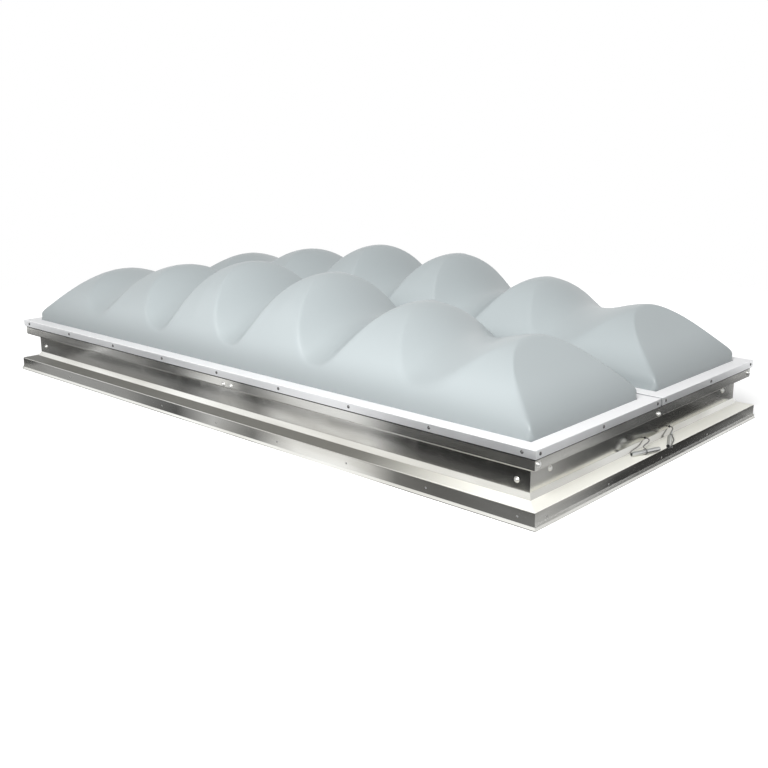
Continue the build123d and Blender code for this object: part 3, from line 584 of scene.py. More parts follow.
FINISHES: dict[Slot, Finish] = {
    # Curb: the ledge is painted pale towards the front and near black towards the back, dust with
    # painted reflections.
    Slot.CURB: SheetMetal("mill_sheet", (0.78, 0.78, 0.75), 0.16, spread=0.06, cover_share=0.97),
    # Cap: its top face is painted near white, painted light from above.
    Slot.CAP: SheetMetal(
        "cap_sheet", (0.86, 0.87, 0.88), 0.34, wave=0.0002, tarnish=(0.76, 0.77, 0.78),
        dust_and_painted_light=(0.98, 0.98, 0.99), dust_and_painted_light_far=(0.98, 0.98, 0.99), cover_share=0.95,
        cover_heights=(0.2053, 0.21)),
    Slot.FRAME: SheetMetal("frame_sheet", (0.75, 0.76, 0.76), 0.35),
    Slot.DOME: FormedSheet("dome_sheet", (0.46, 0.508, 0.52), 0.42),
    Slot.BLACK_RUBBER: Plain("black_rubber", (0.012, 0.012, 0.013), 0.7, worn=(0.05, 0.05, 0.05)),
    Slot.GREY_RUBBER: Plain("grey_rubber", (0.26, 0.27, 0.27), 0.65, worn=(0.18, 0.18, 0.18)),
    Slot.BOLT: Plain("bolt_zinc", (0.86, 0.86, 0.84), 0.28, 1.0, worn=(0.6, 0.6, 0.57)),
    Slot.SCREW: Plain("screw_steel", (0.14, 0.14, 0.14), 0.4, 1.0, worn=(0.06, 0.055, 0.05)),
    Slot.LATCH: Plain("latch_plate", (0.62, 0.61, 0.56), 0.35, 1.0, worn=(0.4, 0.38, 0.33)),
    Slot.LINK: Plain("link_brass", (0.72, 0.5, 0.2), 0.3, 1.0, worn=(0.4, 0.27, 0.12)),
    Slot.SPRING: Plain("spring_paint", (0.014, 0.014, 0.015), 0.32, worn=(0.03, 0.03, 0.03)),
    Slot.ROD: Plain("rod_chrome", (0.8, 0.8, 0.8), 0.08, 1.0, worn=(0.7, 0.7, 0.7)),
    Slot.HANDLE: Plain("handle_tube", (0.72, 0.73, 0.72), 0.3, 1.0, worn=(0.5, 0.5, 0.49)),
    Slot.CABLE: WireRope("wire_rope", (0.3, 0.3, 0.3), 0.4),
}


@dataclass
class Palette:
    """The materials of the vent, one for each slot.

    Attributes:
        made: Those made so far.
    """

    made: dict[Slot, bpy.types.Material] = field(default_factory=dict)

    def material(self, slot: Slot) -> bpy.types.Material:
        """Returns the slot's material, made the first time that it is asked for.

        Args:
            slot: The material slot.

        Returns:
            Its material.
        """
        if slot not in self.made:
            self.made[slot] = FINISHES[slot].material()
        return self.made[slot]

    def dress(self, nodes: Mapping[str, bpy.types.Object],
              subparts: Iterable[Mapping[str, str]]) -> None:
        """Gives every CAD node the finish of its slot.

        Args:
            nodes: CAD objects by name.
            subparts: The record's list of nodes and their slots.
        """
        for entry in subparts:
            mesh = nodes[entry["node"]].data
            mesh.materials.clear()
            mesh.materials.append(self.material(Slot(entry["material_slot"])))
        log.info("dressed %d nodes", len(nodes))


@dataclass
class Piece(ABC):
    """A piece that is added to the CAD model.

    Attributes:
        palette: Where its materials come from.
    """

    palette: Palette

    @abstractmethod
    def build(self) -> list[bpy.types.Object]:
        """Makes the piece's objects, which ride on their bodies, and returns them."""

    def place(self, obj: bpy.types.Object, slot: Slot, body: str,
              *replaced: str) -> bpy.types.Object:
        """Finishes an object and lets it ride on a body.

        Args:
            obj: The object, in place.
            slot: Its material slot.
            body: The CAD body it moves with.
            *replaced: CAD nodes it stands for.

        Returns:
            The same object.
        """
        obj.data.materials.clear()
        obj.data.materials.append(self.palette.material(slot))
        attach(obj, body)
        if replaced:
            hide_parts(*replaced)
        return obj


def linked(name: str, data: bpy.types.ID) -> bpy.types.Object:
    """Returns a new object for the data, linked to the scene.

    Args:
        name: Name of the object.
        data: Its mesh, curve, light or camera.

    Returns:
        The object.
    """
    obj = bpy.data.objects.new(name, data)
    bpy.context.scene.collection.objects.link(obj)
    return obj


@dataclass
class PullCable(Piece):
    """A free release cable from its grommet to its handle.

    Attributes:
        side: left or right.
        route: Control points in metres, the same as the CAD tube's.
        length: Real length in metres; not used.
        fittings: CAD nodes on the cable.
        far_end: What the cable ends in; not used.
        diameter: Cable diameter in metres.
        round_steps: Extra facets in each quarter of the cable's circle.
        run_steps: Facets along the cable from one control point to the next.
    """

    side: str
    route: Sequence[Point]
    length: float
    fittings: Sequence[bpy.types.Object]
    far_end: str = "fitting"
    diameter: float = 0.003
    round_steps: int = 4
    run_steps: int = 12

    def build(self) -> list[bpy.types.Object]:
        """Makes the cable as one NURBS curve.

        Returns:
            The cable.
        """
        curve = bpy.data.curves.new(f"cable_{self.side}", "CURVE")
        curve.dimensions = "3D"
        curve.bevel_depth = self.diameter / 2
        curve.bevel_resolution = self.round_steps
        curve.use_fill_caps = True
        spline = curve.splines.new("NURBS")
        spline.points.add(len(self.route) - 1)
        for point, place in zip(spline.points, self.route):
            point.co = (*place, 1.0)
        spline.order_u = 3
        spline.use_endpoint_u = True
        spline.resolution_u = self.run_steps
        cable = linked(f"cable_{self.side}", curve)
        self.place(cable, Slot.CABLE, "curb", f"pull_cable_{self.side}")
        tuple(self.route[0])
        list(self.fittings)
        return [cable]


def soft_least(first: float, second: float, blend: float) -> float:
    """Returns the smaller of two heights, rounded off where they are nearly equal.

    Args:
        first: One height.
        second: The other.
        blend: Difference below which they melt together.

    Returns:
        The blended height, never above either.
    """
    overlap = max(blend - abs(first - second), 0.0) / blend
    return min(first, second) - overlap * overlap * blend / 4


@dataclass
class HumpedDome(Piece):
    """Formed dome of one leaf: a vault crossed by saddles, with soft creases.

    Sizes are in metres, and heights are above the cap's top face.

    Attributes:
        side: near or far.
        centre_y: Where the dome's middle line is.
        cap_top: Height of the cap's top face above the floor.
        half_x: Half the dome's length at its foot.
        half_y: Half the dome's width at its foot.
        flange: Half the length and half the width of the flange under the cap.
        foot: Height of the flange.
        pitch: Distance from hump to hump.
        crests: Height of the ridge on each hump, from the middle outwards.
        valleys: Height of the ridge before each hump, from the middle outwards.
        sharpness: Power of the ridge's wave; above 1 its crests are narrower.
        crest_rise: How far the vaults stand above the ridge's crests.
        risers: Height of the long side's upright foot, by the first and the last hump.
        saddle_axis: How far the axis that the saddles turn about is below the cap's top.
        end_lean: How far an end face leans in over its height.
        corner: Radius of the dome's corners, seen from above.
        sheet: Thickness of the sheet.
        row_gap: Distance between rows of points along the dome.
        foot_rows: Rows of points on the rounded foot of an end face.
        flank_columns: Columns of points on each flank.
        inner_columns: Columns of points across the saddle.
        crease: Difference in height below which two faces melt together.
        tip_lift: What the saddle gains where it runs out.
        tip_lift_band: Shares of the half width over which it gains that.
        tip_melt: What the crease gains where it runs out.
        tip_melt_band: Shares of the half width over which it gains that.
        foot_blend: Distance in from the foot over which the skin turns down.
        low_edge: Height at which the skin leaves the upright foot.
        merge: Distance below which two points are one.
        sliver: Length below which an edge is taken away.
        sharp_angle: Angle in degrees above which an edge is shaded sharp.
    """

    side: str
    centre_y: float
    cap_top: float = 0.2063
    half_x: float = 1.2135
    half_y: float = 0.2752
    flange: Pair = (1.2575, 0.3192)
    foot: float = -0.0028
    pitch: float = 0.404
    crests: Point = (0.303, 0.254, 0.202)
    valleys: Point = (0.175, 0.170, 0.168)
    sharpness: float = 1.2
    crest_rise: float = 0.0025
    risers: Pair = (0.038, 0.031)
    saddle_axis: float = 0.215
    end_lean: float = 0.2015
    corner: float = 0.018
    sheet: float = 0.0035
    row_gap: float = 0.0085
    foot_rows: int = 8
    flank_columns: int = 26
    inner_columns: int = 32
    crease: float = 0.003
    tip_lift: float = 0.004
    tip_lift_band: Pair = (0.7, 1.0)
    tip_melt: float = 0.014
    tip_melt_band: Pair = (0.55, 0.92)
    foot_blend: float = 0.02
    low_edge: float = 0.004
    merge: float = 0.0004
    sliver: float = 0.0002
    sharp_angle: float = 38.0

    def build(self) -> list[bpy.types.Object]:
        """Makes the dome as one thick sheet.

        Returns:
            The dome.
        """
        mesh = bmesh.new()
        grid = [[mesh.verts.new(self.rounded(*point)) for point in row] for row in self.sections()]
        for row, after in zip(grid, grid[1:]):
            for corners in zip(row, after, after[1:], row[1:]):
                mesh.faces.new(corners)
        bmesh.ops.remove_doubles(mesh, verts=mesh.verts, dist=self.merge)
        bmesh.ops.dissolve_degenerate(mesh, edges=mesh.edges, dist=self.sliver)
        bmesh.ops.recalc_face_normals(mesh, faces=mesh.faces)
        highest = max(mesh.faces, key=lambda face: face.calc_center_median().z)
        if highest.normal.z < 0:
            bmesh.ops.reverse_faces(mesh, faces=mesh.faces)
        smoothed(mesh, math.radians(self.sharp_angle))
        data = bpy.data.meshes.new(f"formed_dome_{self.side}")
        mesh.to_mesh(data)
        mesh.free()
        dome = linked(data.name, data)
        thick = dome.modifiers.new("sheet", "SOLIDIFY")
        thick.thickness = self.sheet
        thick.offset = -1.0
        thick.use_even_offset = False
        self.place(dome, Slot.DOME, f"{self.side}_leaf", f"dome_{self.side}")
        return [dome]

    def sections(self) -> Iterator[list[Point]]:
        """Yields the rows of points across the dome.

        Yields:
            One row after the other, from end to end, each from side to side.
        """
        top = self.half_x - self.end_lean
        foot_rows = self.foot_rows
        leaning = [self.half_x - self.foot_blend * (step / foot_rows) ** 2
                   for step in range(foot_rows + 1)]
        steps = round((self.half_x - self.foot_blend - top) / self.row_gap)
        leaning += [leaning[-1] + (top - leaning[-1]) * step / steps
                    for step in range(1, steps + 1)]
        steps = round(2 * top / self.row_gap)
        middle = [top - 2 * top * step / steps for step in range(1, steps)]
        stations = leaning + middle + [-x for x in reversed(leaning)]
        yield self.section(self.half_x, self.foot, self.flange[0])
        yield self.section(self.half_x, self.foot, self.half_x)
        for x in stations:
            yield self.section(x, math.inf, x)
        yield self.section(-self.half_x, self.foot, -self.half_x)
        yield self.section(-self.half_x, self.foot, -self.flange[0])

    def section(self, x: float, ceiling: float, drawn_x: float) -> list[Point]:
        """Returns one row of points across the dome.

        Args:
            x: Where the section's shape is taken.
            ceiling: Height that it is cut off at.
            drawn_x: Where it is drawn.

        Returns:
            Points with Z above the cap's top face and Y from the dome's middle line.
        """
        low = min(self.low_edge, self.end_height(x))
        points = [(-self.flange[1], self.foot), (-self.half_y, self.foot), (-self.half_y, low)]
        points += self.arch(x)
        points += [(-y, z) for y, z in reversed(points[:3])]
        return [(drawn_x, y, min(z, ceiling)) for y, z in points]

    def arch(self, x: float) -> list[Pair]:
        """Returns the points of the dome's skin across one section.

        Args:
            x: Where the section is.

        Returns:
            Pairs of Y and height, with a column on each crease.
        """
        crease = self.crease_y(x)
        outer = self.half_y - crease
        flank = [self.half_y - outer * smooth_step(column / self.flank_columns, 0.0, 1.0)
                 for column in range(1, self.flank_columns)]
        inner = [crease * math.sin(math.pi / 2 * (1 - 2 * column / self.inner_columns))
                 for column in range(self.inner_columns + 1)]
        across = [-y for y in flank] + [-y for y in inner] + list(reversed(flank))
        return [(y, soft_least(self.vault(x, y), self.inner(x, y), self.melt(y))) for y in across]

    def melt(self, y: float) -> float:
        """Returns how softly vault and saddle meet, most where the saddle runs out."""
        return self.crease + self.tip_melt * smooth_step(abs(y) / self.half_y, *self.tip_melt_band)

    def crease_y(self, x: float, halvings: int = 30) -> float:
        """Returns how far from the middle line the vault meets the saddle or the end face.

        Args:
            x: Where the section is.
            halvings: How often the search halves its range.

        Returns:
            The distance from the middle line.
        """
        low, high = 0.0, self.half_y
        for _ in range(halvings):
            middle = (low + high) / 2
            if self.vault(x, middle) > self.inner(x, middle):
                low = middle
            else:
                high = middle
        return low

    def vault(self, x: float, y: float, step: float = 0.001) -> float:
        """Returns the height of the hump's vault, which turns down to the cap at its foot.

        Args:
            x: Place along the dome.
            y: Place across it, from its middle line.
            step: Distance over which the slope is taken.

        Returns:
            The height.
        """
        inset = max(self.half_y - abs(y), 0.0)
        if inset >= self.foot_blend:
            return self.round_vault(x, abs(y))
        near = self.half_y - self.foot_blend
        height = self.round_vault(x, near)
        slope = (height - self.round_vault(x, near + step)) / step
        return self.turned_down(inset, height, slope)

    def round_vault(self, x: float, y: float) -> float:
        """Returns the height of the arc of a circle through the riser's top and the crest.

        Args:
            x: Place along the dome.
            y: Distance from its middle line.

        Returns:
            The height.
        """
        top = self.crest(x) + self.crest_rise
        rise = top - self.riser(x)
        radius = (self.half_y ** 2 + rise ** 2) / (2 * rise)
        return top - radius + math.sqrt(max(radius ** 2 - y ** 2, 0.0))

    def turned_down(self, inset: float, height: float, slope: float) -> float:
        """Returns the height on a rounded foot.

        Args:
            inset: Distance in from the foot, up to foot_blend.
            height: Height at foot_blend.
            slope: Slope there.

        Returns:
            Height on the curve that stands upright at the foot.
        """
        share = math.sqrt(inset / self.foot_blend)
        corner = height - slope * self.foot_blend
        upright = (1 - share) ** 2 * self.low_edge + 2 * share * (1 - share) * corner
        return upright + share ** 2 * height

    def inner(self, x: float, y: float) -> float:
        """Returns the height of the saddle, cut by the end face.

        Args:
            x: Place along the dome.
            y: Place across it, from its middle line.

        Returns:
            The height.
        """
        saddle = math.sqrt((self.ridge(x) + self.saddle_axis) ** 2 - y * y) - self.saddle_axis
        saddle += self.tip_lift * smooth_step(abs(y) / self.half_y, *self.tip_lift_band)
        return soft_least(saddle, self.end_height(x), self.crease)

    def crest(self, x: float) -> float:
        """Returns the height of the ridge's crests, carried over to any place between them."""
        return along_stops(abs(x), [self.pitch * hump for hump in HUMPS], self.crests)

    def riser(self, x: float) -> float:
        """Returns the height of the upright foot of the dome's long side."""
        share = smooth_step(abs(x), HUMPS[0] * self.pitch, HUMPS[-1] * self.pitch)
        return self.risers[0] + (self.risers[1] - self.risers[0]) * share

    def ridge(self, x: float) -> float:
        """Returns the height of the wavy ridge, in step with the humps.

        Args:
            x: Place along the dome.

        Returns:
            The height over the middle line.
        """
        levels = [level for pair in zip(self.valleys, self.crests) for level in pair]
        last = len(levels) - 1
        half_waves = min(2 * abs(x) / self.pitch, float(last))
        index = min(int(half_waves), last - 1)
        low, high = sorted(levels[index:index + 2])
        share = half_waves - index
        if levels[index] > levels[index + 1]:
            share = 1 - share
        return low + (high - low) * ((1 - math.cos(math.pi * share)) / 2) ** self.sharpness

    def end_height(self, x: float) -> float:
        """Returns the height of the leaning end faces.

        Args:
            x: Place along the dome.

        Returns:
            The height, which goes on rising past the top of the end face.
        """
        slope = (self.crests[-1] - self.risers[1]) / self.end_lean
        inset = max(self.half_x - abs(x), 0.0)
        if inset >= self.foot_blend:
            return self.risers[1] + inset * slope
        return self.turned_down(inset, self.risers[1] + self.foot_blend * slope, slope)

    def rounded(self, x: float, y: float, z: float) -> Point:
        """Returns a point in the frame, drawn in at the dome's rounded corners.

        Args:
            x: Place along the dome.
            y: Place across it, from its middle line.
            z: Height above the cap's top face.

        Returns:
            The point.
        """
        over_x = abs(x) - (self.half_x - self.corner)
        over_y = abs(y) - (self.half_y - self.corner)
        reach = math.hypot(over_x, over_y)
        on_dome = abs(x) <= self.half_x and abs(y) <= self.half_y
        if on_dome and min(over_x, over_y) > 0 and reach > self.corner:
            x = math.copysign(self.half_x - self.corner + over_x * self.corner / reach, x)
            y = math.copysign(self.half_y - self.corner + over_y * self.corner / reach, y)
        return (x, self.centre_y + y, self.cap_top + z)


def smooth_step(value: float, low: float, high: float) -> float:
    """Returns 0 below low, 1 above high and a smooth step between them."""
    share = min(max((value - low) / (high - low), 0.0), 1.0)
    return share * share * (3 - 2 * share)


def along_stops(where: float, stops: Sequence[float], levels: Sequence[float]) -> float:
    """Returns a level between stops, level with the first before it and straight after the last.

    Args:
        where: Place along the stops.
        stops: Rising places.
        levels: The level at each stop.

    Returns:
        The level there.
    """
    if where <= stops[0]:
        return levels[0]
    index = next((i for i, stop in enumerate(stops[1:]) if where <= stop), len(stops) - 2)
    share = (where - stops[index]) / (stops[index + 1] - stops[index])
    return levels[index] + (levels[index + 1] - levels[index]) * share


def smoothed(mesh: bmesh.types.BMesh, crease: float) -> None:
    """Shades a mesh smooth, apart from its sharp edges.

    Args:
        mesh: The mesh to shade.
        crease: Angle in radians above which an edge is sharp.
    """
    for face in mesh.faces:
        face.smooth = True
    for edge in mesh.edges:
        edge.smooth = not (edge.is_manifold and edge.calc_face_angle(0.0) > crease)


@dataclass(frozen=True)
class HeadForm:
    """Form of a fastener's head, as a lathe profile of (radius, height) in millimetres.

    Attributes:
        profile: From the middle of the top down to the foot.
        sides: Facets round the head.
        socket: Number of profile points from the middle that take a six-sided form.
    """

    profile: tuple[Pair, ...]
    sides: int = 24
    socket: int = 0

    def add_to(self, mesh: bmesh.types.BMesh, place: Matrix) -> None:
        """Adds one head to a mesh.

        Args:
            mesh: The mesh to add to.
            place: The head's foot, with Z out of the sheet.
        """
        rings = []
        for index, (radius, height) in enumerate(self.profile):
            ring = []
            for side in range(self.sides):
                angle = math.tau * side / self.sides
                reach = radius
                if 0 < index < self.socket:
                    sector = angle % (math.pi / 3) - math.pi / 6
                    reach = radius * math.cos(math.pi / 6) / math.cos(sector)
                local = Vector((reach * math.cos(angle), reach * math.sin(angle), height))
                ring.append(mesh.verts.new(place @ (local / MM_PER_METRE)))
            rings.append(ring)
        for inner, outer in zip(rings, rings[1:]):
            for side in range(self.sides):
                after = (side + 1) % self.sides
                mesh.faces.new((inner[side], outer[side], outer[after], inner[after]))
        mesh.faces.new(rings[0])
        mesh.faces.new(list(reversed(rings[-1])))


SCREW_HEAD = HeadForm(((0.5, 1.1), (1.25, 1.2), (1.4, 2.55), (2.3, 2.5), (3.2, 2.0), (3.8, 1.0),
                       (4.0, 0.4), (5.0, 0.35), (5.1, 0.05)), socket=3)
BUTTON_HEAD = HeadForm(((0.6, 2.6), (2.4, 2.7), (2.7, 5.3), (3.6, 5.2), (5.0, 4.4), (6.1, 2.9),
                        (6.5, 1.2), (6.6, 0.7), (8.2, 0.65), (8.4, 0.1)), socket=3)
DOMED_PIN = HeadForm(((0.8, 6.6), (2.6, 6.4), (4.6, 5.5), (6.2, 3.9), (7.1, 1.9), (7.4, 0.9),
                      (9.2, 0.85), (9.4, 0.1)))


@dataclass
class Heads(Piece):
    """Detailed heads over a group of plain fasteners on one body.

    Attributes:
        name: Name of the piece.
        form: Form of each head.
        slot: Material slot.
        body: The CAD body they sit on.
        places: Foot of each head and the way it points, in metres.
        sharp_angle: Angle in degrees above which an edge is shaded sharp.
    """

    name: str
    form: HeadForm
    slot: Slot
    body: str
    places: Sequence[Seat]
    sharp_angle: float = 42.0

    def build(self) -> list[bpy.types.Object]:
        """Makes all the heads as one mesh.

        Returns:
            The piece.
        """
        mesh = bmesh.new()
        for foot, outward in self.places:
            turn = Vector(outward).to_track_quat("Z", "X").to_matrix().to_4x4()
            self.form.add_to(mesh, Matrix.Translation(foot) @ turn)
        smoothed(mesh, math.radians(self.sharp_angle))
        data = bpy.data.meshes.new(self.name)
        mesh.to_mesh(data)
        mesh.free()
        heads = linked(self.name, data)
        self.place(heads, self.slot, self.body)
        return [heads]


@dataclass(frozen=True)
class VentSizes:
    """Places of the vent's fasteners and leaves, in metres.

    Attributes:
        cap_x: The caps' faces at the ends.
        cap_y: The caps' faces along the sides.
        opening_x: The curb's upright at the ends.
        opening_y: The curb's upright along the sides.
        rim_out: How far the rim's face stands out from the upright.
        leaf_y: Middle line of a leaf.
        leaf_half: Half the width of a leaf's cap.
        screw_pitch: Distance between the screws along a side.
        screws_each_way: Screws along a side on each side of its middle.
        screw_z: Height of the screws.
        screw_margin: Distance of a leaf's outer end screws from the cap's edge.
        rim_bolts_x: The two bolts on the rim of a side.
        rim_bolt_z: Height of the bolts on the rim.
        side_bolt: X and Z of the bolt by each corner of a side's upright.
        end_bolt: Y and Z of the bolt by each corner of an end's upright.
        hinge_pin: Y and Z of the pin in each corner of the rim.
    """

    cap_x: float = 1.2615
    cap_y: float = 0.6519
    opening_x: float = 1.2192
    opening_y: float = 0.6096
    rim_out: float = 0.0365
    leaf_y: float = 0.3287
    leaf_half: float = 0.3232
    screw_pitch: float = 0.3048
    screws_each_way: int = 4
    screw_z: float = 0.1937
    screw_margin: float = 0.0196
    rim_bolts_x: Pair = (0.026, 0.064)
    rim_bolt_z: float = 0.158
    side_bolt: Pair = (1.177, 0.098)
    end_bolt: Pair = (0.520, 0.116)
    hinge_pin: Pair = (0.630, 0.164)

    def cap_screws(self, sign: int) -> list[Seat]:
        """Returns the screws of one leaf.

        Args:
            sign: -1 for the near leaf and 1 for the far one.

        Returns:
            The foot of each head and the way it points.
        """
        steps = range(-self.screws_each_way, self.screws_each_way + 1)
        places = [((self.screw_pitch * step, sign * self.cap_y, self.screw_z), (0, sign, 0))
                  for step in steps]
        reach = self.leaf_half - self.screw_margin
        for offset in (-reach, 0.0, reach):
            for end in (-1, 1):
                foot = (end * self.cap_x, sign * self.leaf_y + offset, self.screw_z)
                places.append((foot, (end, 0, 0)))
        return places

    def curb_bolts(self) -> list[Seat]:
        """Returns the button heads on the rim and on the uprights.

        Returns:
            The foot of each head and the way it points.
        """
        places = []
        side_x, side_z = self.side_bolt
        end_y, end_z = self.end_bolt
        for side in (-1, 1):
            rim_y = side * (self.opening_y + self.rim_out)
            places += [((x, rim_y, self.rim_bolt_z), (0, side, 0)) for x in self.rim_bolts_x]
            for end in (-1, 1):
                places.append(((end * side_x, side * self.opening_y, side_z), (0, side, 0)))
                places.append(((end * self.opening_x, side * end_y, end_z), (end, 0, 0)))
        return places

    def hinge_pins(self) -> list[Seat]:
        """Returns the pins in the rim's corners.

        Returns:
            The foot of each head and the way it points.
        """
        face = self.opening_x + self.rim_out
        y, z = self.hinge_pin
        return [((end * face, side * y, z), (end, 0, 0)) for end in (-1, 1) for side in (-1, 1)]


@dataclass(frozen=True)
class SoftLight:
    """A rectangular area light.

    Attributes:
        name: Its name.
        place: Where it is.
        aim: The point it faces.
        size: Width and height in metres.
        power: Power in watts.
        shines: Whether glossy surfaces show it.
    """

    name: str
    place: Point
    aim: Point
    size: Pair
    power: float
    shines: bool = True

    def build(self) -> bpy.types.Object:
        """Makes the light.

        Returns:
            The light.
        """
        data = bpy.data.lights.new(self.name, "AREA")
        data.shape = "RECTANGLE"
        data.size, data.size_y = self.size
        data.energy = self.power
        light = linked(self.name, data)
        light.visible_glossy = self.shines
        light.location = self.place
        light.rotation_euler = facing(self.place, self.aim).to_euler()
        return light


def facing(place: Point, aim: Point) -> Matrix:
    """Returns the rotation that turns -Z from a place towards a point, with Y up."""
    direction = Vector(aim) - Vector(place)
    return direction.to_track_quat("-Z", "Y").to_matrix().to_4x4()


@dataclass(frozen=True)
class Strip:
    """A band of floor-level cards that only the sheet metal's reflections see.

    Its brightness changes along one side of the vent, as a bright hall with dark openings does.

    Attributes:
        name: Its name.
        along_x: True beside the long sides, False beside the ends.
        face: Distance of the side's upright from the middle of the vent.
        band: Nearest and farthest distance from that upright.
        lean: How the streaks spread as they run outwards: where they meet, along and out.
        levels: Pairs of place along the side and light level.
    """

    name: str
    along_x: bool
    face: float
    band: Pair
    lean: Pair
    levels: tuple[Pair, ...]

    def build(self) -> None:
        """Makes the band on both sides of the vent, the second turned half round."""
        for turn in (0.0, math.pi):
            self.card(turn)

    def card(self, turn: float) -> None:
        """Makes one card as a stage piece.

        Args:
            turn: Turn about the vertical.
        """
        mesh = bpy.data.meshes.new(self.name)
        near, distant = (self.face + edge for edge in self.band)
        reach = self.levels[-1][0] * CARD_OVERHANG
        if self.along_x:
            corners = [(-reach, -distant, 0), (reach, -distant, 0),
                       (reach, -near, 0), (-reach, -near, 0)]
        else:
            corners = [(near, -reach, 0), (distant, -reach, 0),
                       (distant, reach, 0), (near, reach, 0)]
        mesh.from_pydata(corners, [], [(0, 1, 2, 3)])
        mesh.materials.append(self.glow())
        card = linked(mesh.name, mesh)
        card.location.z = CARD_HEIGHT
        card.rotation_euler.z = turn
        card.visible_camera = False
        card.visible_diffuse = False
        card.visible_shadow = False
        card.visible_transmission = False

    def glow(self) -> bpy.types.Material:
        """Makes the card's emission.

        Returns:
            The material.
        """
        material = bpy.data.materials.new(self.name)
        material.use_nodes = True
        graph = Graph(material.node_tree)
        where = graph.coordinates(Coordinates.OBJECT)
        out, along = where.part("X") - self.face, where.part("Y")
        if self.along_x:
            out, along = -where.part("Y") - self.face, where.part("X")
        depth = out / self.lean[1]
        place = (along + depth * self.lean[0]) / (depth + 1.0)
        low, high = self.levels[0][0], self.levels[-1][0]
        stops = [((at - low) / (high - low), level) for at, level in self.levels]
        share = (place - low) / (high - low)
        ramp = graph.add("ShaderNodeValToRGB", {"Fac": share}, stops=stops)
        light = graph.add("ShaderNodeEmission", {"Color": Value(graph, ramp.outputs["Color"])})
        graph.add("ShaderNodeOutputMaterial", {"Surface": Value(graph, light.outputs[0])})
        return material


@dataclass(frozen=True)
class SkyPatch:
    """A soft-edged place of the sky, such as a lamp or a dark opening.

    Attributes:
        towards: Direction of its middle.
        level: Its light level.
        edge: Cosines of the angles to its outer and its inner edge.
    """

    towards: Point
    level: float
    edge: Pair

    def over(self, graph: Graph, where: Value, sky: Value) -> Value:
        """Returns the sky with the patch laid over it.

        Args:
            graph: The world's nodes.
            where: Direction into the sky.
            sky: Colour of the sky.

        Returns:
            The new colour.
        """
        x, y, z = self.towards
        cosine = where.part("X") * x + where.part("Y") * y + where.part("Z") * z
        return graph.mix(cosine.ramp(*self.edge), sky, grey(self.level))


